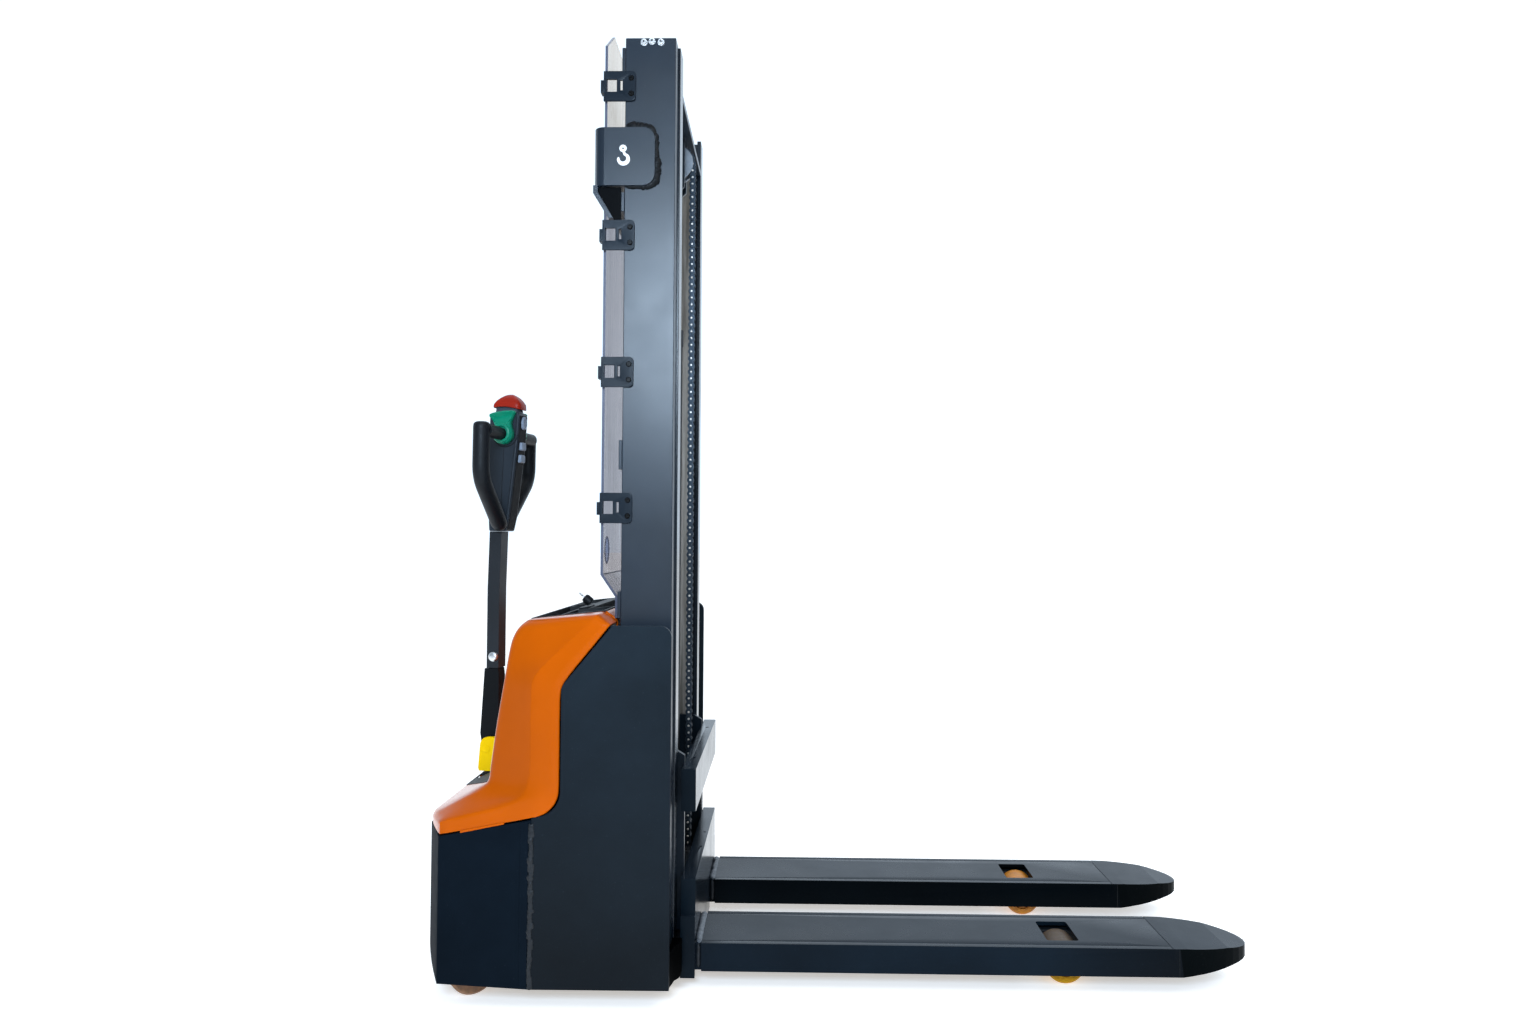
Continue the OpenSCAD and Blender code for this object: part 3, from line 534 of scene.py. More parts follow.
# inner faces round the bracket's recess take the near-black paint: painted shade
sling.data.materials.append(PAINT_RECESS_SHADE)
for f in sling.data.polygons:
    if abs(f.center.y) < 0.3175 and f.center.z < 1.6405:
        f.material_index = 1
soften("guard_panel", CLEAR, 0.6, 2)
soften("guard_brackets", PAINT, 0.5, 2, joined=False)
paint("guard_screws", SCREW)
paint("mast_top_bolts", ZINC)
ylim = max(abs((NODES["mast_top_bolts"].matrix_world @ v.co).y) for v in NODES["mast_top_bolts"].data.vertices) * 1000
# dark discs on the bolt heads stand for the hex-socket hollows: painted shade
bm = bmesh.new()
for s in (-1, 1):
    for x, z in ((-115, 1940), (-98.6, 1942), (-80, 1940)):
        lathe(bm, [(0.0001, -0.0004), (0.0021, -0.0004), (0.0021, 0.00015), (0.0001, 0.00015)], P(x, s * ylim, z), Vector((0, s, 0)), 6)
bmesh.ops.recalc_face_normals(bm, faces=bm.faces)
add("mast_bolt_sockets", bm, CAST, "chassis", angle=30)
soften("cylinder_barrels", PAINT_IN, 1.0, 2)
paint("cylinder_rods", STEEL)
soften("dash_tray", BLACK, 1.2, 3, joined=False)
paint("tiller_well", BLACK)
soften("key_switch", BLACK, 0.6, 2)
soften("key", ZINC, 0.3, 2)
soften("emergency_button", RED, 1.5, 3)
soften("battery_pack", BLACK, 2.0, 2)
soften("pump_unit", CAST, 2.0, 2)
soften("motor_controller", CAST, 1.5, 2)
wheel = soften("sheave", SHEAVE, 0.6, 2)
axle = P(-84, 0, 1804)
for v in wheel.data.vertices:
    arm = wheel.matrix_world @ v.co - axle
    rad = math.hypot(arm.x, arm.z)
    if 0.035 < rad < 0.0375:
        v.co = wheel.matrix_world.inverted() @ (axle + Vector((arm.x * (rad - 0.0031) / rad, arm.y, arm.z * (rad - 0.0031) / rad)))
soften("carriage_side_plates", PAINT, 1.4, 2)
for n in ("carriage_upper_beam", "carriage_lower_beam"):
    beam = soften(n, PAINT_BEAM, 1.6, 3)
    # end faces take the darker copy of the beam paint: painted shade
    beam.data.materials.append(PAINT_END_SHADE)
    for f in beam.data.polygons:
        if abs(f.normal.y) > 0.9:
            f.material_index = 1
soften("chain_anchor", CAST, 0.8, 2)
near = soften("fork_right", PAINT_FORK, 1.5, 3, joined=False)
bm = node_bm("fork_right", False)
bmesh.ops.translate(bm, verts=bm.verts, vec=(0, 0.390, 0))
far = bevel_mod(add("fork_left_body", bm, PAINT_TOP, BODY["fork_left"], ["fork_left"], angle=28), 1.5, 3)
# fork side faces take shaded copies of the fork paint and the nose sides a near-black one: painted shade
for fork, side, nose in ((near, PAINT_FSIDE_SHADE, PAINT_NOSE_SHADE), (far, PAINT_FAR_SHADE, PAINT_NOSE_SHADE)):
    fork.data.materials.append(side)
    fork.data.materials.append(nose)
    for f in fork.data.polygons:
        if abs(f.normal.z) < 0.5:
            f.material_index = 2 if f.center.x > 0.690 else 1
gear = soften("drive_gearbox", PAINT_IN, 1.5, 2)
for v in gear.data.vertices:
    if v.co.z > 0.350:                           # arm plate, kept clear of the deck edge
        d = v.co - S(0, 0, 0)
        u = (S(1, 0, 0) - S(0, 0, 0)).normalized()
        if d.dot(u) < -0.090:
            v.co += u * 0.012
soften("drive_motor", BLACK, 2.0, 2)
paint("drive_hub", ROLLER)
soften("drive_tyre", PU_CAST, 1.5, 2)
base = soften("tiller_base", YELLOW, 4.0, 4)
for v in base.data.vertices:
    u = (S(1, 0, 0) - S(0, 0, 0)).normalized()
    d = (v.co - S(0, 0, 0)).dot(u)
    if v.co.z < 0.380:
        v.co.z += 0.003
    if d < -0.0915 and v.co.z < 0.400:
        v.co -= u * 0.004
soften("tiller_bracket", STRIP_D, 2.0, 3)
soften("tiller_arm", PAINT_ARM, 3.0, 3)
for n in ("castor_fork_left", "castor_fork_right"):
    soften(n, CAST, 1.2, 2)
for n in ("castor_wheel_left", "castor_wheel_right"):
    soften(n, PU_CAST, 1.2, 2)

# ---------------------------------------------------------------- orange cover


def lerp(a, b, t):
    return tuple(x + (y - x) * t for x, y in zip(a, b))


def upper(k01, k2, k3, k7, k10, k11, bulge=0.0):
    """One row of the cover above the nose, from the middle of the rear to the plate edge."""
    row = [(k01[0], 0.0, k01[1]), (k01[0] - 2, -150.0, k01[1]), k2, k3]
    for t in (0.16, 0.55, 0.90):
        x, y, z = lerp(k3, k7, t)
        row.append((x, y - bulge * math.sin(math.pi * t), z))
    row.append(k7)
    row += [lerp(k7, k10, 0.16), lerp(k7, k10, 0.80), k10, k11, (k11[0], k11[1] + 6, k11[2])]
    return row


def lower(x01, z01, *rest):
    last = rest[-1]
    return [(x01, 0.0, z01), (x01, -150.0, z01), (x01, -250.0, z01)] + list(rest) + [(last[0], last[1] + 6, last[2])]


COVER = [
    lower(-544, 337, (-542, -281, 337), (-518, -336, 338), (-493, -384, 339), (-440, -385, 349), (-375, -385, 361), (-345, -385, 366),
          (-318, -385, 371.5), (-306, -386, 374), (-303, -387, 373)),
    lower(-548, 337, (-546, -282, 337), (-520, -338, 337.5), (-494, -388.5, 338), (-440, -390, 348.5), (-375, -390, 361), (-345, -390, 366),
          (-318, -390, 371.5), (-306, -390, 374.2), (-303, -389, 373)),
    lower(-548, 340, (-546, -282, 340), (-520, -338, 341), (-494, -388.5, 342), (-440, -390, 352), (-374, -390, 364), (-344, -390, 369),
          (-317, -390, 374.5), (-304, -390, 376.5), (-301, -389, 374)),
    lower(-548.5, 347.5, (-546.5, -282, 347.5), (-521, -338, 355), (-494, -388.5, 362), (-440, -390, 376.7), (-368, -390, 394), (-340, -390, 390),
          (-312, -390, 386), (-298, -390, 381), (-292, -389, 376.6)),
    lower(-543.5, 355.5, (-541, -285, 356.5), (-514, -335, 369), (-483, -379, 371.5), (-432, -381, 384), (-355, -390, 398.5), (-331, -390, 395),
          (-305, -390, 391), (-291, -390, 386), (-283, -389, 382)),
    lower(-492, 384.5, (-488, -314, 386.5), (-468, -338, 394.5), (-452, -363, 389), (-402, -372, 397), (-343, -390, 404), (-323, -390, 402),
          (-299, -390, 397.5), (-284, -390, 392), (-274, -389, 390)),
    lower(-430, 419, (-429, -334, 419), (-415, -343, 419.5), (-397, -353, 411), (-365, -374, 405.5), (-332.5, -389, 411.5), (-315, -390, 408.5),
          (-293, -390, 404), (-279, -390, 400), (-267, -389, 400)),
    lower(-418, 428, (-419, -337, 428.5), (-402, -345.5, 426), (-366, -362.5, 423), (-338, -377, 423), (-324.5, -386.5, 425), (-307, -389, 422),
          (-286, -390, 418), (-275.5, -390, 415), (-261, -389, 414)),
    upper((-405, 446), (-415, -312, 446), (-413.5, -337, 446), (-319, -385.5, 446), (-275.5, -390, 436), (-260, -389, 434)),
    upper((-402, 470), (-412, -312, 470), (-410, -338, 470), (-317, -385.5, 470), (-275.5, -390, 462), (-260, -389, 460)),
    upper((-391, 554), (-401, -312, 554), (-399, -338, 554), (-317, -385.5, 554), (-275.5, -390, 540), (-260, -389, 535)),
    upper((-380, 622), (-389, -312, 622), (-387, -338, 622), (-317.5, -385.5, 629), (-277, -390, 617), (-260, -389, 612)),
    upper((-377, 642), (-386, -312, 642), (-384, -338, 642), (-311, -385.5, 653), (-272, -390, 641), (-256.5, -389, 633)),
    upper((-370, 690), (-379, -312, 690), (-377, -339, 690), (-256, -385.5, 704), (-224, -390, 696), (-208, -389, 692)),
    upper((-364, 719), (-373, -312, 719), (-371, -339, 718), (-207, -385.5, 749), (-183, -390, 741), (-170, -389, 739)),
    upper((-357, 738), (-361, -312, 739), (-358, -338, 739), (-193, -384, 763), (-173, -389, 751), (-163, -388, 748)),
    upper((-345, 751.5), (-346, -310, 752), (-341, -326, 752.5), (-191, -375, 769.5), (-171, -383, 755.5), (-162, -384, 750)),
    upper((-340.6, 753.6), (-340.6, -301, 753.6), (-336, -301, 754.6), (-191, -301, 770), (-171, -301, 757.5), (-162, -301, 750.5)),
]


def finished(o):
    """The object's mesh with its modifiers made permanent."""
    dg = bpy.context.evaluated_depsgraph_get()
    me = bpy.data.meshes.new_from_object(o.evaluated_get(dg))
    o.modifiers.clear()
    old = o.data
    o.data = me
    bpy.data.meshes.remove(old)
    return o


bm = bmesh.new()
half = [[P(*p) for p in row] for row in COVER]
full = [[Vector((v.x, -v.y, v.z)) for v in reversed(row[1:])] + row for row in half]
grid = loft(bm, full, closed=False)
bmesh.ops.recalc_face_normals(bm, faces=bm.faces)
if sum(f.normal.x for f in bm.faces) > 0:
    bmesh.ops.reverse_faces(bm, faces=bm.faces)
crease = bm.edges.layers.float.new("crease_edge")


def hold(a, b, amount):
    e = bm.edges.get((a, b))
    if e:
        e[crease] = amount


mid = len(COVER[0]) - 1
for q in (-1, 1):
    def at_col(r, c, q=q):
        return grid[r][mid + q * c]
    for r in range(3, len(COVER) - 2):
        hold(at_col(r, 7), at_col(r + 1, 7), 0.82 if r > 6 else 0.55)
    for r in range(7, len(COVER) - 2):
        hold(at_col(r, 10), at_col(r + 1, 10), 0.45)
    for c in range(5, 7):
        hold(at_col(3, c), at_col(3, c + 1), 0.85)
    for c in range(0, 5):
        hold(at_col(3, c), at_col(3, c + 1), 0.55)
        hold(at_col(4, c), at_col(4, c + 1), 0.55)
    for r in range(4, 6):
        hold(at_col(r, 4), at_col(r + 1, 4), 0.70)
    for r in range(1, 4):
        hold(at_col(r, 5), at_col(r + 1, 5), 0.55)
    for c in range(4, 7):
        hold(at_col(6, c), at_col(6, c + 1), 0.25)
for c in range(2 * mid):
    hold(grid[1][c], grid[1][c + 1], 0.8)
    hold(grid[15][c], grid[15][c + 1], 0.25)
    hold(grid[16][c], grid[16][c + 1], 0.35)
cover = add("cover_shell", bm, ORANGE, None, angle=50)
subsurf(cover, 2)
sol = cover.modifiers.new("wall", "SOLIDIFY")
sol.thickness = 0.004
sol.offset = -1.0
finished(cover)
bm = bmesh.new()
lathe(bm, [(0.1311, 0.300), (0.1311, 0.4735)], P(SX, 0, 0), Vector((0, 0, 1)), 96)
bmesh.ops.recalc_face_normals(bm, faces=bm.faces)
cutter = add("cutter", bm, ORANGE, None)
bo = cover.modifiers.new("well", "BOOLEAN")
bo.operation = "DIFFERENCE"
bo.solver = "MANIFOLD"
bo.object = cutter
finished(cover)
bpy.data.objects.remove(cutter)
cover.data.shade_smooth()
cover.data.set_sharp_from_angle(angle=math.radians(48))
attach(cover, "chassis")
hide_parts("rear_cover")

# black deck on the nose, either side of the tiller well
from mathutils.bvhtree import BVHTree
cover_bm = bmesh.new()
cover_bm.from_mesh(cover.data)
skin = BVHTree.FromBMesh(cover_bm)


def deck_edge(a):
    """Distance from the steering axis to the outline of the deck."""
    best = 1e9
    line = [(-543.0, -66.0), (-424.0, -314.0), (-421.0, -316.0), (-421.0, 316.0), (-424.0, 314.0), (-543.0, 66.0)]
    ux, uy = math.cos(a), math.sin(a)
    for (x0, y0), (x1, y1) in zip(line, line[1:] + line[:1]):
        x0, x1 = x0 - SX, x1 - SX
        ex, ey = x1 - x0, y1 - y0
        det = ux * -ey + uy * ex
        if abs(det) < 1e-9:
            continue
        t = (x0 * -ey + y0 * ex) / det
        w = (ux * y0 - uy * x0) / det
        if t > 0 and -1e-6 <= w <= 1 + 1e-6:
            best = min(best, t)
    return best


for s in (-1, 1):
    bm = bmesh.new()
    fan = [math.radians(a / 4) for a in range(340, 721)]
    fan = [s * a for a in fan if deck_edge(s * a) > 150.0 - 42.0 * min(1.0, max(0.0, (math.degrees(a) - 94.0) / 14.0)) and math.cos(a) * deck_edge(s * a) < 9.0]
    rows = []
    for a in fan:
        e = deck_edge(a)
        row = []
        d0 = 106.0 + 42.0 * min(1.0, max(0.0, (108.0 - math.degrees(abs(a))) / 14.0))
        for k in range(9):
            d = d0 + (e - d0) * k / 8
            x, y = SX + d * math.cos(a), d * math.sin(a)
            hit = skin.ray_cast(P(x, y, 520), Vector((0, 0, -1)))[0]
            z = hit.z * 1000 if hit else 357 + 0.559 * (x + 541)
            row.append(P(x, y, min(z, 357.5 + 0.559 * (x + 541)) + 1.6))
        rows.append(row)
    loft(bm, rows, closed=False)
    bmesh.ops.recalc_face_normals(bm, faces=bm.faces)
    if sum(f.normal.z for f in bm.faces) < 0:
        bmesh.ops.reverse_faces(bm, faces=bm.faces)
    deck = add("nose_deck_" + ("right" if s < 0 else "left"), bm, DECK, "chassis")
    so = deck.modifiers.new("wall", "SOLIDIFY")
    so.thickness = 0.003
    so.offset = -1.0
    bevel_mod(deck, 0.8, 2, 50)
cover_bm.free()

# thin lower lip of the nose
for s in (-1, 1):
    bm = bmesh.new()
    lip = [(-452, 342.0), (-366, 359.6), (-366, 363.5), (-452, 346.5)]
    prism(bm, lip, 0.0022, lambda a, b, d, s=s: P(a, s * 389.4, b) + Vector((0, s * d, 0)))
    bmesh.ops.recalc_face_normals(bm, faces=bm.faces)
    bevel_mod(add("cover_lip_" + ("right" if s < 0 else "left"), bm, ORANGE, "chassis"), 0.6, 2)

bm = bmesh.new()
strip = [(-186.5, 770.3), (-183, 769.6), (-168, 759), (-163, 754.5), (-161.2, 749), (-161.2, 738), (-164, 738), (-165, 750), (-184, 764), (-186.5, 766)]
prism(bm, strip, 0.604, lambda a, b, d: P(a, -302.0, b) + Vector((0, d, 0)))
bmesh.ops.recalc_face_normals(bm, faces=bm.faces)
bevel_mod(add("cover_front_strip", bm, ORANGE, "chassis"), 1.2, 3)

# ---------------------------------------------------------------- lift chain


def chain_path(front, arc, rear):
    """Pin places over the three stretches of the chain, in fork-face millimetres (x, z)."""
    a = [(-43.0, 214 + (1804 - 214) * i / front) for i in range(front + 1)]
    b = [(-84 + 41 * math.cos(math.pi * i / arc), 1804 + 41 * math.sin(math.pi * i / arc)) for i in range(arc + 1)]
    c = [(-125.0, 1804 - (1804 - 104) * i / rear) for i in range(rear + 1)]
    return a, b, c


def link_outline(length, r_end, r_mid, n=7):
    """Waisted link plate, lying along its own length."""
    pts = []
    for i in range(n + 1):
        t = -math.pi / 2 + math.pi * i / n
        pts.append((length + r_end * math.cos(t), r_end * math.sin(t)))
    pts.append((length * 0.5, r_mid))
    for i in range(n + 1):
        t = math.pi / 2 + math.pi * i / n
        pts.append((r_end * math.cos(t), r_end * math.sin(t)))
    pts.append((length * 0.5, -r_mid))
    return pts


def chain_bm(pins, start):
    bm = bmesh.new()
    for i, (a, b) in enumerate(zip(pins, pins[1:])):
        d = math.hypot(b[0] - a[0], b[1] - a[1])
        ux, uz = (b[0] - a[0]) / d, (b[1] - a[1]) / d
        outer = (i + start) % 2 == 0
        y0, y1 = (6.9, 8.6) if outer else (4.9, 6.6)
        shape = link_outline(d, 7.9 if not outer else 7.7, 4.9)
        for s in (-1, 1):
            before = len(bm.faces)
            prism(bm, shape, (y1 - y0) / 1000, lambda p, q, e: P(a[0] + ux * p - uz * q, s * y0, a[1] + uz * p + ux * q) + Vector((0, s * e, 0)))
    for i, a in enumerate(pins):
        c = P(a[0], 0, a[1])
        lathe(bm, [(0.0049, -0.0049), (0.0049, 0.0049)], c, Vector((0, 1, 0)), 14)
    for f in bm.faces:
        f.material_index = 0
    n0 = len(bm.faces)
    for i, a in enumerate(pins):
        c = P(a[0], 0, a[1])
        lathe(bm, [(0.0018, -0.0099), (0.0024, -0.0094), (0.0024, 0.0094), (0.0018, 0.0099)], c, Vector((0, 1, 0)), 12)
    bm.faces.ensure_lookup_table()
    for f in bm.faces[n0:]:
        f.material_index = 1
    bmesh.ops.recalc_face_normals(bm, faces=bm.faces)
    return bm


ca, cb, cc = chain_path(100, 8, 107)
chain_front = add("chain_front_strand", chain_bm(ca, 0), CHAIN, "inner_mast", ["lift_chain_front"], mats=[CHAIN, PIN])
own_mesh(chain_front)
add("chain_over_sheave", chain_bm(cb, 0), CHAIN, "inner_mast", mats=[CHAIN, PIN])
chain_rear = add("chain_rear_strand", chain_bm(cc, 0), CHAIN, None, ["lift_chain_rear"], mats=[CHAIN, PIN])
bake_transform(chain_rear)

# ---------------------------------------------------------------- welds


def bead(name, pts, r, mat, body, seed, squash=0.62, out=Vector((0, -1, 0)), step=2.2, rough=0.22):
    """A hand-laid weld bead along a line on a surface that faces out."""
    rnd = random.Random(seed)
    line = [pts[0]]
    for a, b in zip(pts, pts[1:]):
        n = max(1, int((b - a).length * 1000 / step))
        line += [a + (b - a) * (i + 1) / n for i in range(n)]
    drift = rnd.uniform(0, 6)
    path, rad = [], []
    wob = 0.0
    for i, p in enumerate(line):
        wob = wob * 0.86 + rnd.uniform(-1, 1) * 0.14
        ripple = 0.5 + 0.5 * math.sin(i * 2 * math.pi / 3.1 + drift)
        e = min(1.0, (i + 1) / 4, (len(line) - i) / 4)
        rad.append(r / 1000 * (0.35 + 0.65 * e) * (1 + rough * wob * 2.2 + 0.16 * ripple))
        t = (line[min(i + 1, len(line) - 1)] - line[max(i - 1, 0)]).normalized()
        path.append(p + out.cross(t) * (wob * r * 0.0005))
    bm = bmesh.new()
    tube(bm, path, rad, 10, squash, out)
    bmesh.ops.recalc_face_normals(bm, faces=bm.faces)
    return add(name, bm, mat, body, angle=60)



def lumpy(name, x, y, z_top, z_low, w, mat, seed, side):
    """A coarse hand weld down a joint: run-on lumps of uneven width and height."""
    rnd = random.Random(seed)
    bm = bmesh.new()
    z = z_top
    lumps = []
    while z > z_low:
        n = rnd.uniform(7, 19)
        lumps.append((z, min(n, z - z_low + 2), rnd.uniform(0.72, 1.15), rnd.uniform(-1.6, 1.6), rnd.uniform(0.75, 1.25)))
        z -= n * 0.86
    rings = []
    zz = z_top
    while zz >= z_low - 0.1:
        wide, off, high, best = 0.0, 0.0, 0.0, 0.0
        for z0, n, k, d, h in lumps:
            t = (z0 - zz) / n
            if 0 <= t <= 1:
                f = max(0.0, math.sin(math.pi * t)) ** 0.45
                if f * k > best:
                    best, wide, off, high = f * k, w * k * (0.62 + 0.38 * f), d, 3.1 * h * (0.45 + 0.55 * f)
        wide, high = max(wide, w * 0.5), max(high, 1.0)
        ring = []
        for i in range(13):
            u = -1 + 2 * i / 12
            edge = 1 + 0.10 * rnd.uniform(-1, 1)
            ring.append(P(x + off + wide * u * edge, y + side * (high * (1 - u * u) ** 0.62 + 0.25 * rnd.uniform(-1, 1) * (1 - abs(u)) - 0.5), zz - 1.6 * (1 - u * u)))
        rings.append(ring)
        zz -= 1.9
    loft(bm, rings, closed=False)
    bmesh.ops.recalc_face_normals(bm, faces=bm.faces)
    if sum(f.normal.y for f in bm.faces) * side < 0:
        bmesh.ops.reverse_faces(bm, faces=bm.faces)
    ob = add(name, bm, mat, "chassis", angle=70)
    so = ob.modifiers.new("body", "SOLIDIFY")
    so.thickness = 0.0012
    so.offset = -1.0
    return ob


for s in (-1, 1):
    side = "right" if s < 0 else "left"
    o = Vector((0, s, 0))
    lumpy("skirt_weld_" + side, -313.4, s * 390.2, 362, 42, 6.8, WELD, 11 + s, s)
    arc_up = [P(-115 + 27 * math.sin(math.radians(a)), s * 320.4, 1736 + 27 * math.cos(math.radians(a))) for a in range(0, 91, 15)]
    arc_dn = [P(-115 + 27 * math.cos(math.radians(a)), s * 320.4, 1666 - 27 * math.sin(math.radians(a))) for a in range(0, 91, 15)]
    # bracket weld in the darker bead material, which carries painted shadow
    bead("bracket_weld_" + side, [P(-150, s * 320.4, 1763)] + arc_up + arc_dn + [P(-150, s * 320.4, 1639)], 8.2, WELD_DARK_AND_SHADE, "chassis", 21 + s, out=o, rough=0.5, squash=0.8)
    fyc = s * 195
    fork = "carriage"
    bead("fork_heel_weld_" + side, [P(7.5, fyc - 82, 92.9), P(7.0, fyc, 93.1), P(7.5, fyc + 82, 92.9)], 6.4, WELD_L, fork, 31 + s, out=Vector((0.35, 0, 1)).normalized())
    for q in (-1, 1):
        bead("fork_side_weld_%s_%d" % (side, q), [P(7, fyc + q * 85, 90.5), P(7, fyc + q * 85.5, 44)], 4.0, WELD, fork, 41 + s + q, out=Vector((0, q, 0)))
        for zz, nm in ((361, "low"), (447, "top")):
            pass
    bead("beam_plate_weld_" + side, [P(-32, s * 223, 363), P(-32, s * 223, 445)], 3.6, WELD, fork, 51 + s, out=Vector((-0.7, s * 0.7, 0)).normalized())
    bead("beam_plate_weld_low_" + side, [P(-32, s * 223, 100), P(-32, s * 223, 219)], 3.6, WELD, fork, 61 + s, out=Vector((-0.7, s * 0.7, 0)).normalized())

# toes of the mast feet, in near-black paint: painted shade
for s in (-1, 1):
    bm = bmesh.new()
    plan = [(-45.2, -381.6), (-41.5, -381.6), (-35, -346), (-27, -333), (-25, -322), (-25, -300), (-45.2, -300)]
    prism(bm, plan, 0.068, lambda a, b, d, s=s: P(a, -s * b, 42.2) + Vector((0, 0, d)))
    bmesh.ops.recalc_face_normals(bm, faces=bm.faces)
    bevel_mod(add("mast_toe_" + ("right" if s < 0 else "left"), bm, PAINT_TOE_SHADE, "chassis"), 1.5, 3)

# sawn edges and bend line of the clear guard
for s in (-1, 1):
    bm = bmesh.new()
    side = [(-196.1, 1937), (-196.1, 845), (-165.5, 800), (-165.5, 757), (-160.3, 757), (-160.3, 801), (-190.9, 846), (-190.9, 1937)]
    prism(bm, side, 0.0005, lambda a, b, d, s=s: P(a, s * 311.9, b) + Vector((0, s * d, 0)))
    cut = [(-311.9, 1936.4), (-311.9, 1937.2), (-228.4, 1996.8), (-228.4, 1996.0)]
    prism(bm, cut, 0.0052, lambda a, b, d, s=s: P(-196.1, -s * a, b) + Vector((d, 0, 0)))
    bmesh.ops.recalc_face_normals(bm, faces=bm.faces)
    add("guard_edge_" + ("right" if s < 0 else "left"), bm, GUARD_EDGE, "chassis")
    bm = bmesh.new()
    lathe(bm, [(0.0284, 0.0), (0.0284, 0.0012)], P(-194.1, s * 255, 895), Vector((1, 0, 0)), 48)
    bmesh.ops.recalc_face_normals(bm, faces=bm.faces)
    add("guard_plug_" + ("right" if s < 0 else "left"), bm, PLUG, "chassis")
bm = bmesh.new()
prism(bm, [(-196.3, 844.4), (-196.3, 846.4), (-190.7, 847.0), (-190.7, 845.0)], 0.6236, lambda a, b, d: P(a, -311.8, b) + Vector((0, d, 0)))
bmesh.ops.recalc_face_normals(bm, faces=bm.faces)
add("guard_bend", bm, GUARD_EDGE, "chassis")

# joint of the welded fork nose
for s in (-1, 1):
    bm = bmesh.new()
    for q in (-1, 1):
        prism(bm, [(983.2, 38.5), (984.4, 38.5), (984.4, 91.6), (983.2, 91.6)], 0.0005, lambda a, b, d, s=s, q=q: P(a, s * 195 + q * 89.7, b) + Vector((0, q * d, 0)))
    bmesh.ops.recalc_face_normals(bm, faces=bm.faces)
    add("fork_nose_joint_" + ("right" if s < 0 else "left"), bm, WELD_DARK_AND_SHADE, "carriage")

# lifting-point mark: a plain hook, as thin paint on the bracket
for s in (-1, 1):
    bm = bmesh.new()
    cx, cz = -154.6, 1695.3
    line = [(cx + 0.3, 1711), (cx + 3.2, 1704.6)] + [(cx + 10.0 * math.cos(math.radians(a)), cz + 10.0 * math.sin(math.radians(a))) for a in range(48, -200, -13)]
    wid = [2.6, 2.8] + [3.0 + 1.2 * math.sin(math.pi * min(1.0, i / 16.0)) for i in range(len(line) - 2)]
    wid[-1], wid[-2] = 1.0, 2.0
    lft, rgt = [], []
    for i, (x, z) in enumerate(line):
        a, b = line[max(0, i - 1)], line[min(len(line) - 1, i + 1)]
        d = math.hypot(b[0] - a[0], b[1] - a[1])
        nx, nz = -(b[1] - a[1]) / d, (b[0] - a[0]) / d
        lft.append((x + nx * wid[i], z + nz * wid[i]))
        rgt.append((x - nx * wid[i], z - nz * wid[i]))
    y = s * 329.35
    va = [bm.verts.new(P(x, y, z)) for x, z in lft]
    vb = [bm.verts.new(P(x, y, z)) for x, z in rgt]
    for i in range(len(va) - 1):
        bm.faces.new((va[i], va[i + 1], vb[i + 1], vb[i]))
    n = 28
    ro = [bm.verts.new(P(cx - 0.6 + 7.4 * math.cos(2 * math.pi * k / n), y, 1716.8 + 7.4 * math.sin(2 * math.pi * k / n))) for k in range(n)]
    ri = [bm.verts.new(P(cx - 0.6 + 2.0 * math.cos(2 * math.pi * k / n), y, 1716.8 + 2.0 * math.sin(2 * math.pi * k / n))) for k in range(n)]
    for k in range(n):
        bm.faces.new((ro[k], ro[(k + 1) % n], ri[(k + 1) % n], ri[k]))
    ext = bmesh.ops.extrude_face_region(bm, geom=list(bm.faces))
    bmesh.ops.translate(bm, verts=[v for v in ext["geom"] if isinstance(v, bmesh.types.BMVert)], vec=(0, -s * 0.0006, 0))
    bmesh.ops.recalc_face_normals(bm, faces=bm.faces)
    add("hook_mark_" + ("right" if s < 0 else "left"), bm, WHITE_INK, "chassis", angle=30)
    # flat strip beside the skirt weld
    bm = bmesh.new()
    strip = [(-334, 47.5), (-319, 46.6), (-318.6, 200), (-318.2, 366), (-333.4, 363), (-334.4, 200)]
    prism(bm, strip, 0.0016, lambda a, b, d, s=s: P(a, s * 389.6, b) + Vector((0, s * d, 0)))
    bmesh.ops.recalc_face_normals(bm, faces=bm.faces)
    bevel_mod(add("skirt_joint_strip_" + ("right" if s < 0 else "left"), bm, PAINT_SKIRT, "chassis"), 0.7, 2)

# ---------------------------------------------------------------- tiller


def bend(points, radius, steps=8):
    """Polyline with its inner corners rounded."""
    out = [points[0]]
    for a, b, c in zip(points, points[1:], points[2:]):
        u, v = (a - b).normalized(), (c - b).normalized()
        d = min(radius, (a - b).length * 0.48, (c - b).length * 0.48)
        p, q = b + u * d, b + v * d
        for i in range(steps + 1):
            t = i / steps
            out.append(p * (1 - t) ** 2 + b * 2 * t * (1 - t) + q * t * t)
    out.append(points[-1])
    return out


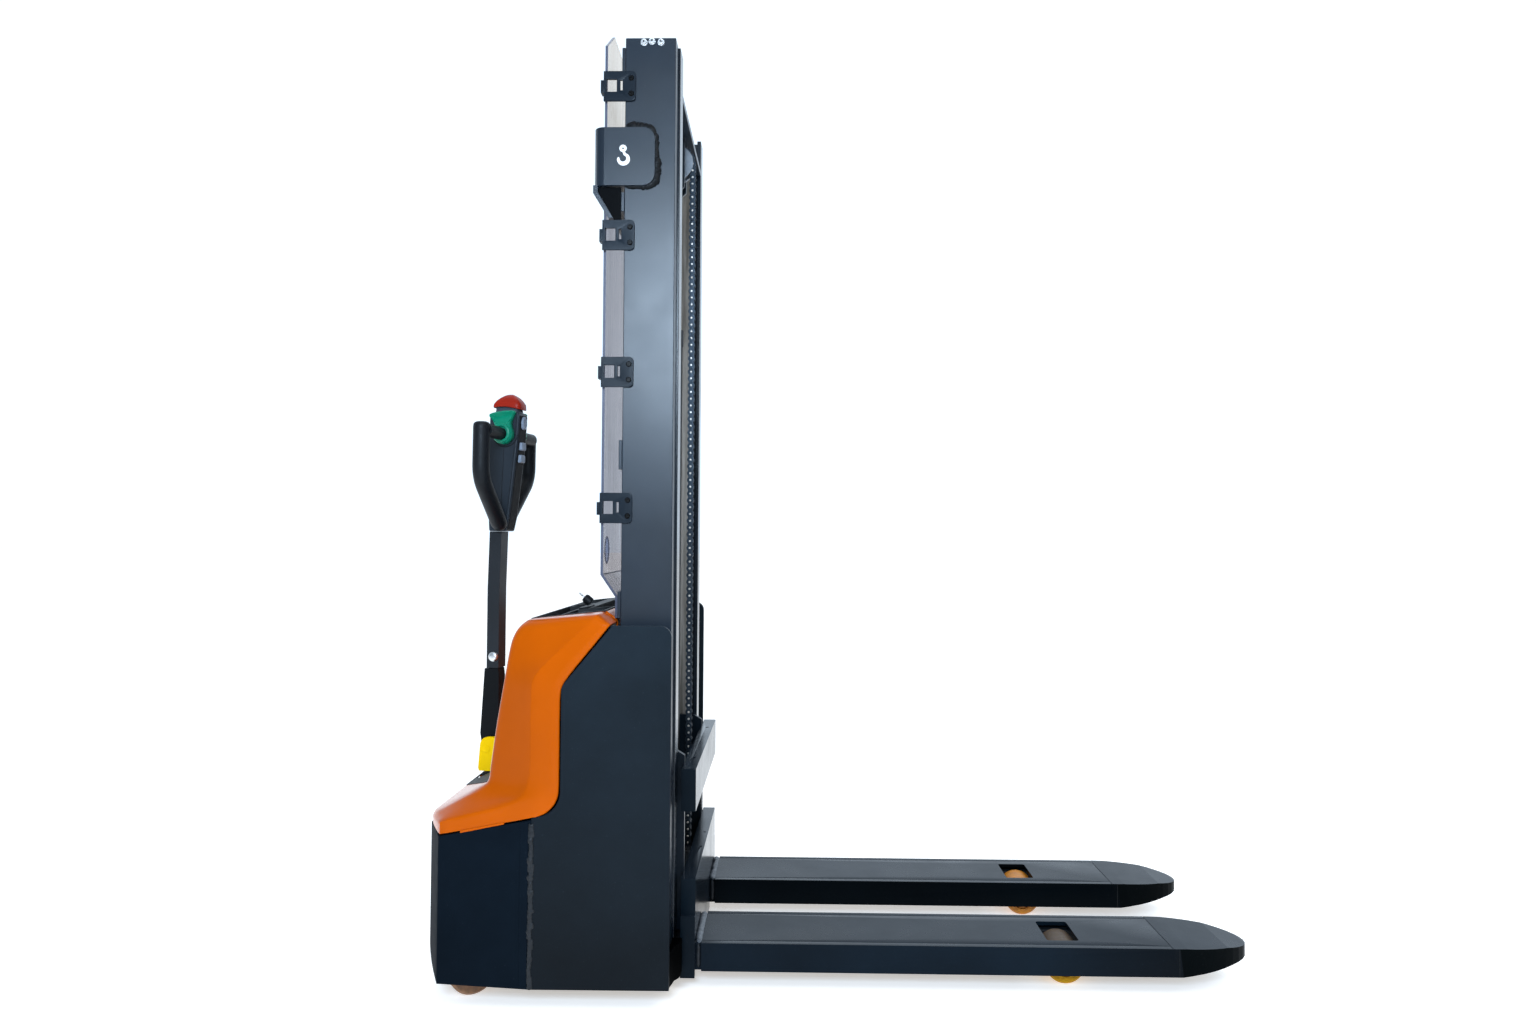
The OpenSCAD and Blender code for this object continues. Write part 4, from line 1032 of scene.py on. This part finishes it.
for s in (-1, 1):
    node = "handle_right" if s < 0 else "handle_left"
    bm = bmesh.new()
    k = 0 if s < 0 else 1
    line = bend([S(-51 - 3 * k, s * 131, 1168 - 7 * k), S(-52 - 3 * k, s * 131, 1055 + 9 * k), S(-53 - 4 * k, s * (38 - 8 * k), 960 + 12 * k)], 0.030, 10)
    top = [S(-51 - 3 * k, s * 131, z - 7 * k) for z in (1180, 1179.4, 1177.4, 1173.8)]
    low = [S(-53 - 3 * k, s * (31 - 5 * k), 953 + 10 * k), S(-52.5 - 2 * k, s * (25 - 2 * k), 947 + 6 * k), S(-52, s * 21, 943)]
    path = top + line + low
    rad = [0.0060, 0.0112, 0.0156, 0.0181] + [0.0189] * len(line) + [0.0184, 0.0165, 0.0120]
    tube(bm, path, rad, 28, 1.0, Vector((1, 0, 0)))
    c = S(-45, s * 50, 1161)
    ax = (S(-45, s * 131, 1161) - S(-45, s * 25, 1161)).normalized()
    lathe(bm, [(0.0145, -0.025), (0.0145, 0.0), (0.0150, 0.012), (0.0156, 0.05), (0.0158, 0.076)], c, ax, 28)
    bmesh.ops.recalc_face_normals(bm, faces=bm.faces)
    add(node + "_grip", bm, GRIP, "tiller", [node], angle=40)

HX, HZ = -43.5, 1162.5
# control head: side faces, front strip, seam lines and buttons
HEAD = [(-82, 934.5), (-40, 934.5), (-33, 966), (-28, 1008), (-20, 1079), (-13, 1150), (-9.5, 1206), (-13.5, 1213.4), (-76, 1213.4), (-83, 1204), (-86.5, 1100), (-86, 1000)]
bm = bmesh.new()
prism(bm, HEAD, 0.050, lambda a, b, d: S(a, -25 + d * 1000, b))
bmesh.ops.recalc_face_normals(bm, faces=bm.faces)
bevel_mod(add("control_head", bm, HEADP, "tiller", ["tiller_head"]), 3.6, 4, 20)
bm = bmesh.new()
front = [(-38.4, 938), (-31.8, 966), (-26.8, 1008), (-18.8, 1079), (-11.8, 1150), (-8.4, 1206)]
prism(bm, front + [(a - 5, b) for a, b in reversed(front)], 0.036, lambda a, b, d: S(a, -18 + d * 1000, b))
bmesh.ops.recalc_face_normals(bm, faces=bm.faces)
bevel_mod(add("head_front_strip", bm, STRIP, "tiller"), 0.7, 2)
for s in (-1, 1):
    bm = bmesh.new()
    arc_line = [S(HX + 30.5 * math.cos(math.radians(a)), s * 25.0, HZ + 30.5 * math.sin(math.radians(a))) for a in range(186, 355, 6)]
    tube(bm, arc_line, 0.0011, 8, 1.0, Vector((0, 1, 0)))
    tube(bm, [S(-47, s * 25.0, 1129), S(-48.5, s * 25.0, 1085), S(-51, s * 25.0, 1030), S(-52, s * 25.0, 985)], 0.0006, 8, 1.0, Vector((0, 1, 0)))
    tube(bm, [S(-16, s * 25.0, 1204), S(-19, s * 25.0, 1150), S(-26, s * 25.0, 1079), S(-34, s * 25.0, 1008), S(-40, s * 25.0, 966), S(-44, s * 25.0, 948)], 0.0006, 8, 1.0, Vector((0, 1, 0)))
    bmesh.ops.recalc_face_normals(bm, faces=bm.faces)
    add("head_seams_" + ("right" if s < 0 else "left"), bm, BLACK, "tiller", angle=60)


def button(node, z, hh, x, oval):
    """A key that stands out of the front strip, with a soft edge and a dished top."""
    bm = bmesh.new()
    n = 36
    e = 0.98 if oval else 0.30
    rings = []
    for k, (f, d) in enumerate([(1.0, -7.0), (1.0, 1.2), (0.96, 2.6), (0.86, 3.6), (0.70, 3.9), (0.30, 3.5)]):
        r = []
        for i in range(n):
            t = 2 * math.pi * i / n
            ct, st = math.cos(t), math.sin(t)
            r.append(S(x + d + (0.6 if oval and 1 < k < 5 else 0.0), 12.5 * f * math.copysign(abs(ct) ** e, ct), z + hh * f * math.copysign(abs(st) ** e, st)))
        rings.append(r)
    loft(bm, rings, True, True)
    bmesh.ops.recalc_face_normals(bm, faces=bm.faces)
    add(node + "_key", bm, GREY, BODY[node], [node], angle=45)


button("horn_button", 1189, 15.5, -9.0, True)
button("lift_button", 1134, 9.5, -10.6, False)
button("lower_button", 1105, 9.5, -12.6, False)

bm = bmesh.new()
for s in (-1, 1):
    c = S(-69, s * 19, 641)
    ax = (S(-69, s * 30, 641) - c).normalized()
    lathe(bm, [(0.0118, -0.001), (0.0118, 0.0022), (0.0108, 0.0040), (0.0075, 0.0060), (0.0030, 0.0066)], c, ax, 32)
lathe(bm, [(0.0079, -0.0240), (0.0079, 0.0240)], S(-78, 0, 428), (S(-78, 10, 428) - S(-78, 0, 428)), 24)
bmesh.ops.recalc_face_normals(bm, faces=bm.faces)
add("tiller_bolts", bm, ZINC, BODY["tiller_pins"], ["tiller_pins"], angle=40)

bm = bmesh.new()
for s in (-1, 1):
    c = S(-78, s * 24.2, 428)
    lathe(bm, [(0.0080, 0.0), (0.0080, 0.0064), (0.0092, 0.0066), (0.0090, 0.0072), (0.0070, 0.0078), (0.0030, 0.0080)], c, S(-78, s * 40, 428) - c, 32)
bmesh.ops.recalc_face_normals(bm, faces=bm.faces)
add("pivot_plugs", bm, YELLOW, BODY["tiller_base"], angle=40)

# thumb paddles
def paddle_outline():
    pts = []
    for i in range(15):                      # round hub below
        t = math.radians(200 + 140 * i / 14)
        pts.append((HX + 25 * math.cos(t), HZ + 25 * math.sin(t)))
    pts += [(HX + 24.2, HZ + 2), (HX + 20.5, HZ + 14), (HX + 18.5, HZ + 23), (HX + 20.0, HZ + 31), (HX + 23.5, HZ + 39), (HX + 27.0, HZ + 46.5), (HX + 28.2, HZ + 50.5),
            (HX + 26, HZ + 53.0), (HX + 18, HZ + 54.0), (HX, HZ + 53.5), (HX - 16, HZ + 51.5), (HX - 28, HZ + 49), (HX - 35, HZ + 46.5), (HX - 36.5, HZ + 42), (HX - 31, HZ + 36),
            (HX - 24, HZ + 28), (HX - 20, HZ + 20), (HX - 21, HZ + 10), (HX - 24.2, HZ + 2)]
    return pts


bm = bmesh.new()
for s in (-1, 1):
    o = paddle_outline()
    cx = sum(p[0] for p in o) / len(o)
    cz = sum(p[1] for p in o) / len(o)

    def ring(k, y, dish=0.0, o=o):
        r = []
        for a, b in o:
            da, db = a - HX, b - (HZ + 12)
            n = math.hypot(da, db)
            f = max(0.0, (n - k) / n)
            x, z = HX + da * f, HZ + 12 + db * f
            yy = y
            if dish and z > HZ + 12:
                yy = y - dish * min(1.0, (z - HZ - 12) / 26.0)
            r.append(S(x, s * yy, z))
        return r
    rings = [ring(1.5, 25.6), ring(0, 27), ring(0, 40, 6), ring(1.0, 43.5, 7), ring(3.4, 46, 8), ring(7, 46.6, 12), ring(13, 46.6, 16), ring(19, 47, 14)]
    if s > 0:
        rings = rings
    loft(bm, rings, True, True)
    # collar round the handle stub
    c = S(HX, s * 40, HZ)
    ax = (S(HX, s * 60, HZ) - c).normalized()
    lathe(bm, [(0.0222, 0.0), (0.0222, 0.008), (0.0208, 0.0098), (0.0165, 0.0102), (0.0160, 0.004)], c, ax, 36)
bmesh.ops.recalc_face_normals(bm, faces=bm.faces)
pad = add("thumb_paddles", bm, GREEN, BODY["butterfly"], ["butterfly"], angle=55)

# red safety cap
bm = bmesh.new()
CAP = [  # height above the lower edge: rear x, front x, half width
    (1227.4, -78, -10.0, 24.5), (1230.0, -78.5, -9.4, 25), (1234, -77.5, -10.0, 24.4), (1242, -71.5, -15.0, 21.5), (1249, -63, -21, 16.5), (1254.5, -54, -29, 10.5), (1257.5, -46.5, -35, 4.5)]


def cap_ring(z, x0, x1, w, drop=True):
    r = []
    n = 40
    cx, hx = (x0 + x1) / 2, (x1 - x0) / 2
    for k in range(n):
        t = 2 * math.pi * k / n
        ct, st = math.cos(t), math.sin(t)
        e = 0.36
        x = cx + hx * math.copysign(abs(ct) ** e, ct)
        y = w * math.copysign(abs(st) ** e, st)
        zz = z
        if drop and z < 1233:
            zz = z + 4.0 * math.cos((x + 50) / 44 * math.pi / 2) - 4.0 - 0.10 * max(0, x + 46)
        r.append(S(x, y, zz))
    return r


inside = [cap_ring(1244, -62, -26, 12, False), cap_ring(1238, -69, -19, 17.5, False), cap_ring(1229.6, -75.4, -12.6, 21.8)]
loft(bm, inside + [cap_ring(*c) for c in CAP], True, True)
c0 = S(-46, 0, 1160)
lathe(bm, [(0.008, 0.0), (0.008, 0.083)], c0, Vector((0, 0, 1)), 20)
bmesh.ops.recalc_face_normals(bm, faces=bm.faces)
cap = add("safety_cap", bm, RED, BODY["belly_button"], ["belly_button"], angle=50)

# grey dome under the cap
bm = bmesh.new()
loft(bm, [cap_ring(z, a, b, w, False) for z, a, b, w in ((1213.0, -74, -14.6, 20.4), (1224.0, -72.6, -18.0, 19.2), (1230.0, -67, -22, 15.2), (1230.0, -56.5, -35.5, 10.5), (1213.0, -56.5, -35.5, 10.5), (1213.0, -74, -14.6, 20.4))], True, False)
bmesh.ops.remove_doubles(bm, verts=bm.verts, dist=1e-6)
bmesh.ops.recalc_face_normals(bm, faces=bm.faces)
add("head_dome", bm, DGREY, "tiller", angle=45)

# ---------------------------------------------------------------- camera, floor and light

YW, PT, RL = 0.0190, 0.0261, 0.0055
fw = Vector((-math.sin(YW) * math.cos(PT), math.cos(YW) * math.cos(PT), math.sin(PT)))
rt = Vector((math.cos(YW), math.sin(YW), 0))
up = rt.cross(fw)
r2 = rt * math.cos(RL) + up * math.sin(RL)
u2 = up * math.cos(RL) - rt * math.sin(RL)
cam = bpy.data.cameras.new("camera")
cam.sensor_fit = "HORIZONTAL"
cam.sensor_width = 36.0
cam.lens = 1018.38 / 1536 * 36.0
cam.clip_start = 0.05
co = bpy.data.objects.new("camera", cam)
bpy.context.scene.collection.objects.link(co)
mw = Matrix((r2, u2, -fw)).transposed().to_4x4()
mw.translation = Vector((-0.11647, -2.38562, 0.92060))
co.matrix_world = mw
bpy.context.scene.camera = co

bm = bmesh.new()
bmesh.ops.create_grid(bm, x_segments=1, y_segments=1, size=60)
fl = Mat("floor_pale", (0.86, 0.86, 0.86), rough=0.7, spec=0.2)
fl.color(fl.ramp(fl.noise(0.8, 3, 0.5), (0.3, (0.85, 0.85, 0.85)), (0.7, (0.88, 0.88, 0.88))))
fl.b.inputs["Emission Color"].default_value = (1, 0.965, 0.92, 1)
sep = fl.n.new("ShaderNodeSeparateXYZ")
fl.l.new(fl.co.outputs["Object"], sep.inputs["Vector"])
fl.l.new(fl.remap(sep.outputs["Y"], -2.0, -0.85, 0.20, 0.52), fl.b.inputs["Emission Strength"])
floor = add("floor", bm, fl.m, None)


def area(name, loc, target, size, power, color=(1, 1, 1)):
    d = bpy.data.lights.new(name, "AREA")
    d.shape = "RECTANGLE"
    d.size, d.size_y = size
    d.energy = power
    d.color = color
    o = bpy.data.objects.new(name, d)
    bpy.context.scene.collection.objects.link(o)
    o.location = loc
    o.rotation_euler = (Vector(target) - Vector(loc)).to_track_quat("-Z", "Y").to_euler()
    return o


area("key_front", (-0.42, -3.35, 2.00), (-0.40, 0, 1.30), (1.1, 0.8), 108, (0.64, 0.81, 1.0))
area("key_left", (-2.6, -3.2, 4.4), (-0.3, 0, 0.7), (2.4, 2.4), 4)
area("key_right", (2.8, -2.8, 4.4), (0.0, 0, 0.7), (2.2, 2.2), 82, (1.0, 0.95, 0.88))
area("top", (0.2, 0.6, 5.2), (0.0, 0, 0.5), (4.0, 4.0), 66)

w = bpy.data.worlds.new("studio")
bpy.context.scene.world = w
w.use_nodes = True
nt = w.node_tree
bg = nt.nodes["Background"]
tc = nt.nodes.new("ShaderNodeTexCoord")
sp = nt.nodes.new("ShaderNodeSeparateXYZ")
nt.links.new(tc.outputs["Generated"], sp.inputs["Vector"])
mr = nt.nodes.new("ShaderNodeMapRange")
mr.interpolation_type = "SMOOTHSTEP"
mr.inputs["From Min"].default_value = -0.30
mr.inputs["From Max"].default_value = 0.65
mr.inputs["To Min"].default_value = 0.46
mr.inputs["To Max"].default_value = 1.36
nt.links.new(sp.outputs["Y"], mr.inputs["Value"])
nt.links.new(mr.outputs["Result"], bg.inputs["Strength"])
bg.inputs["Color"].default_value = (0.745, 0.87, 1.0, 1)

sc = bpy.context.scene
sc.view_settings.view_transform = "Standard"
sc.view_settings.look = "None"
sc.view_settings.exposure = 0.0
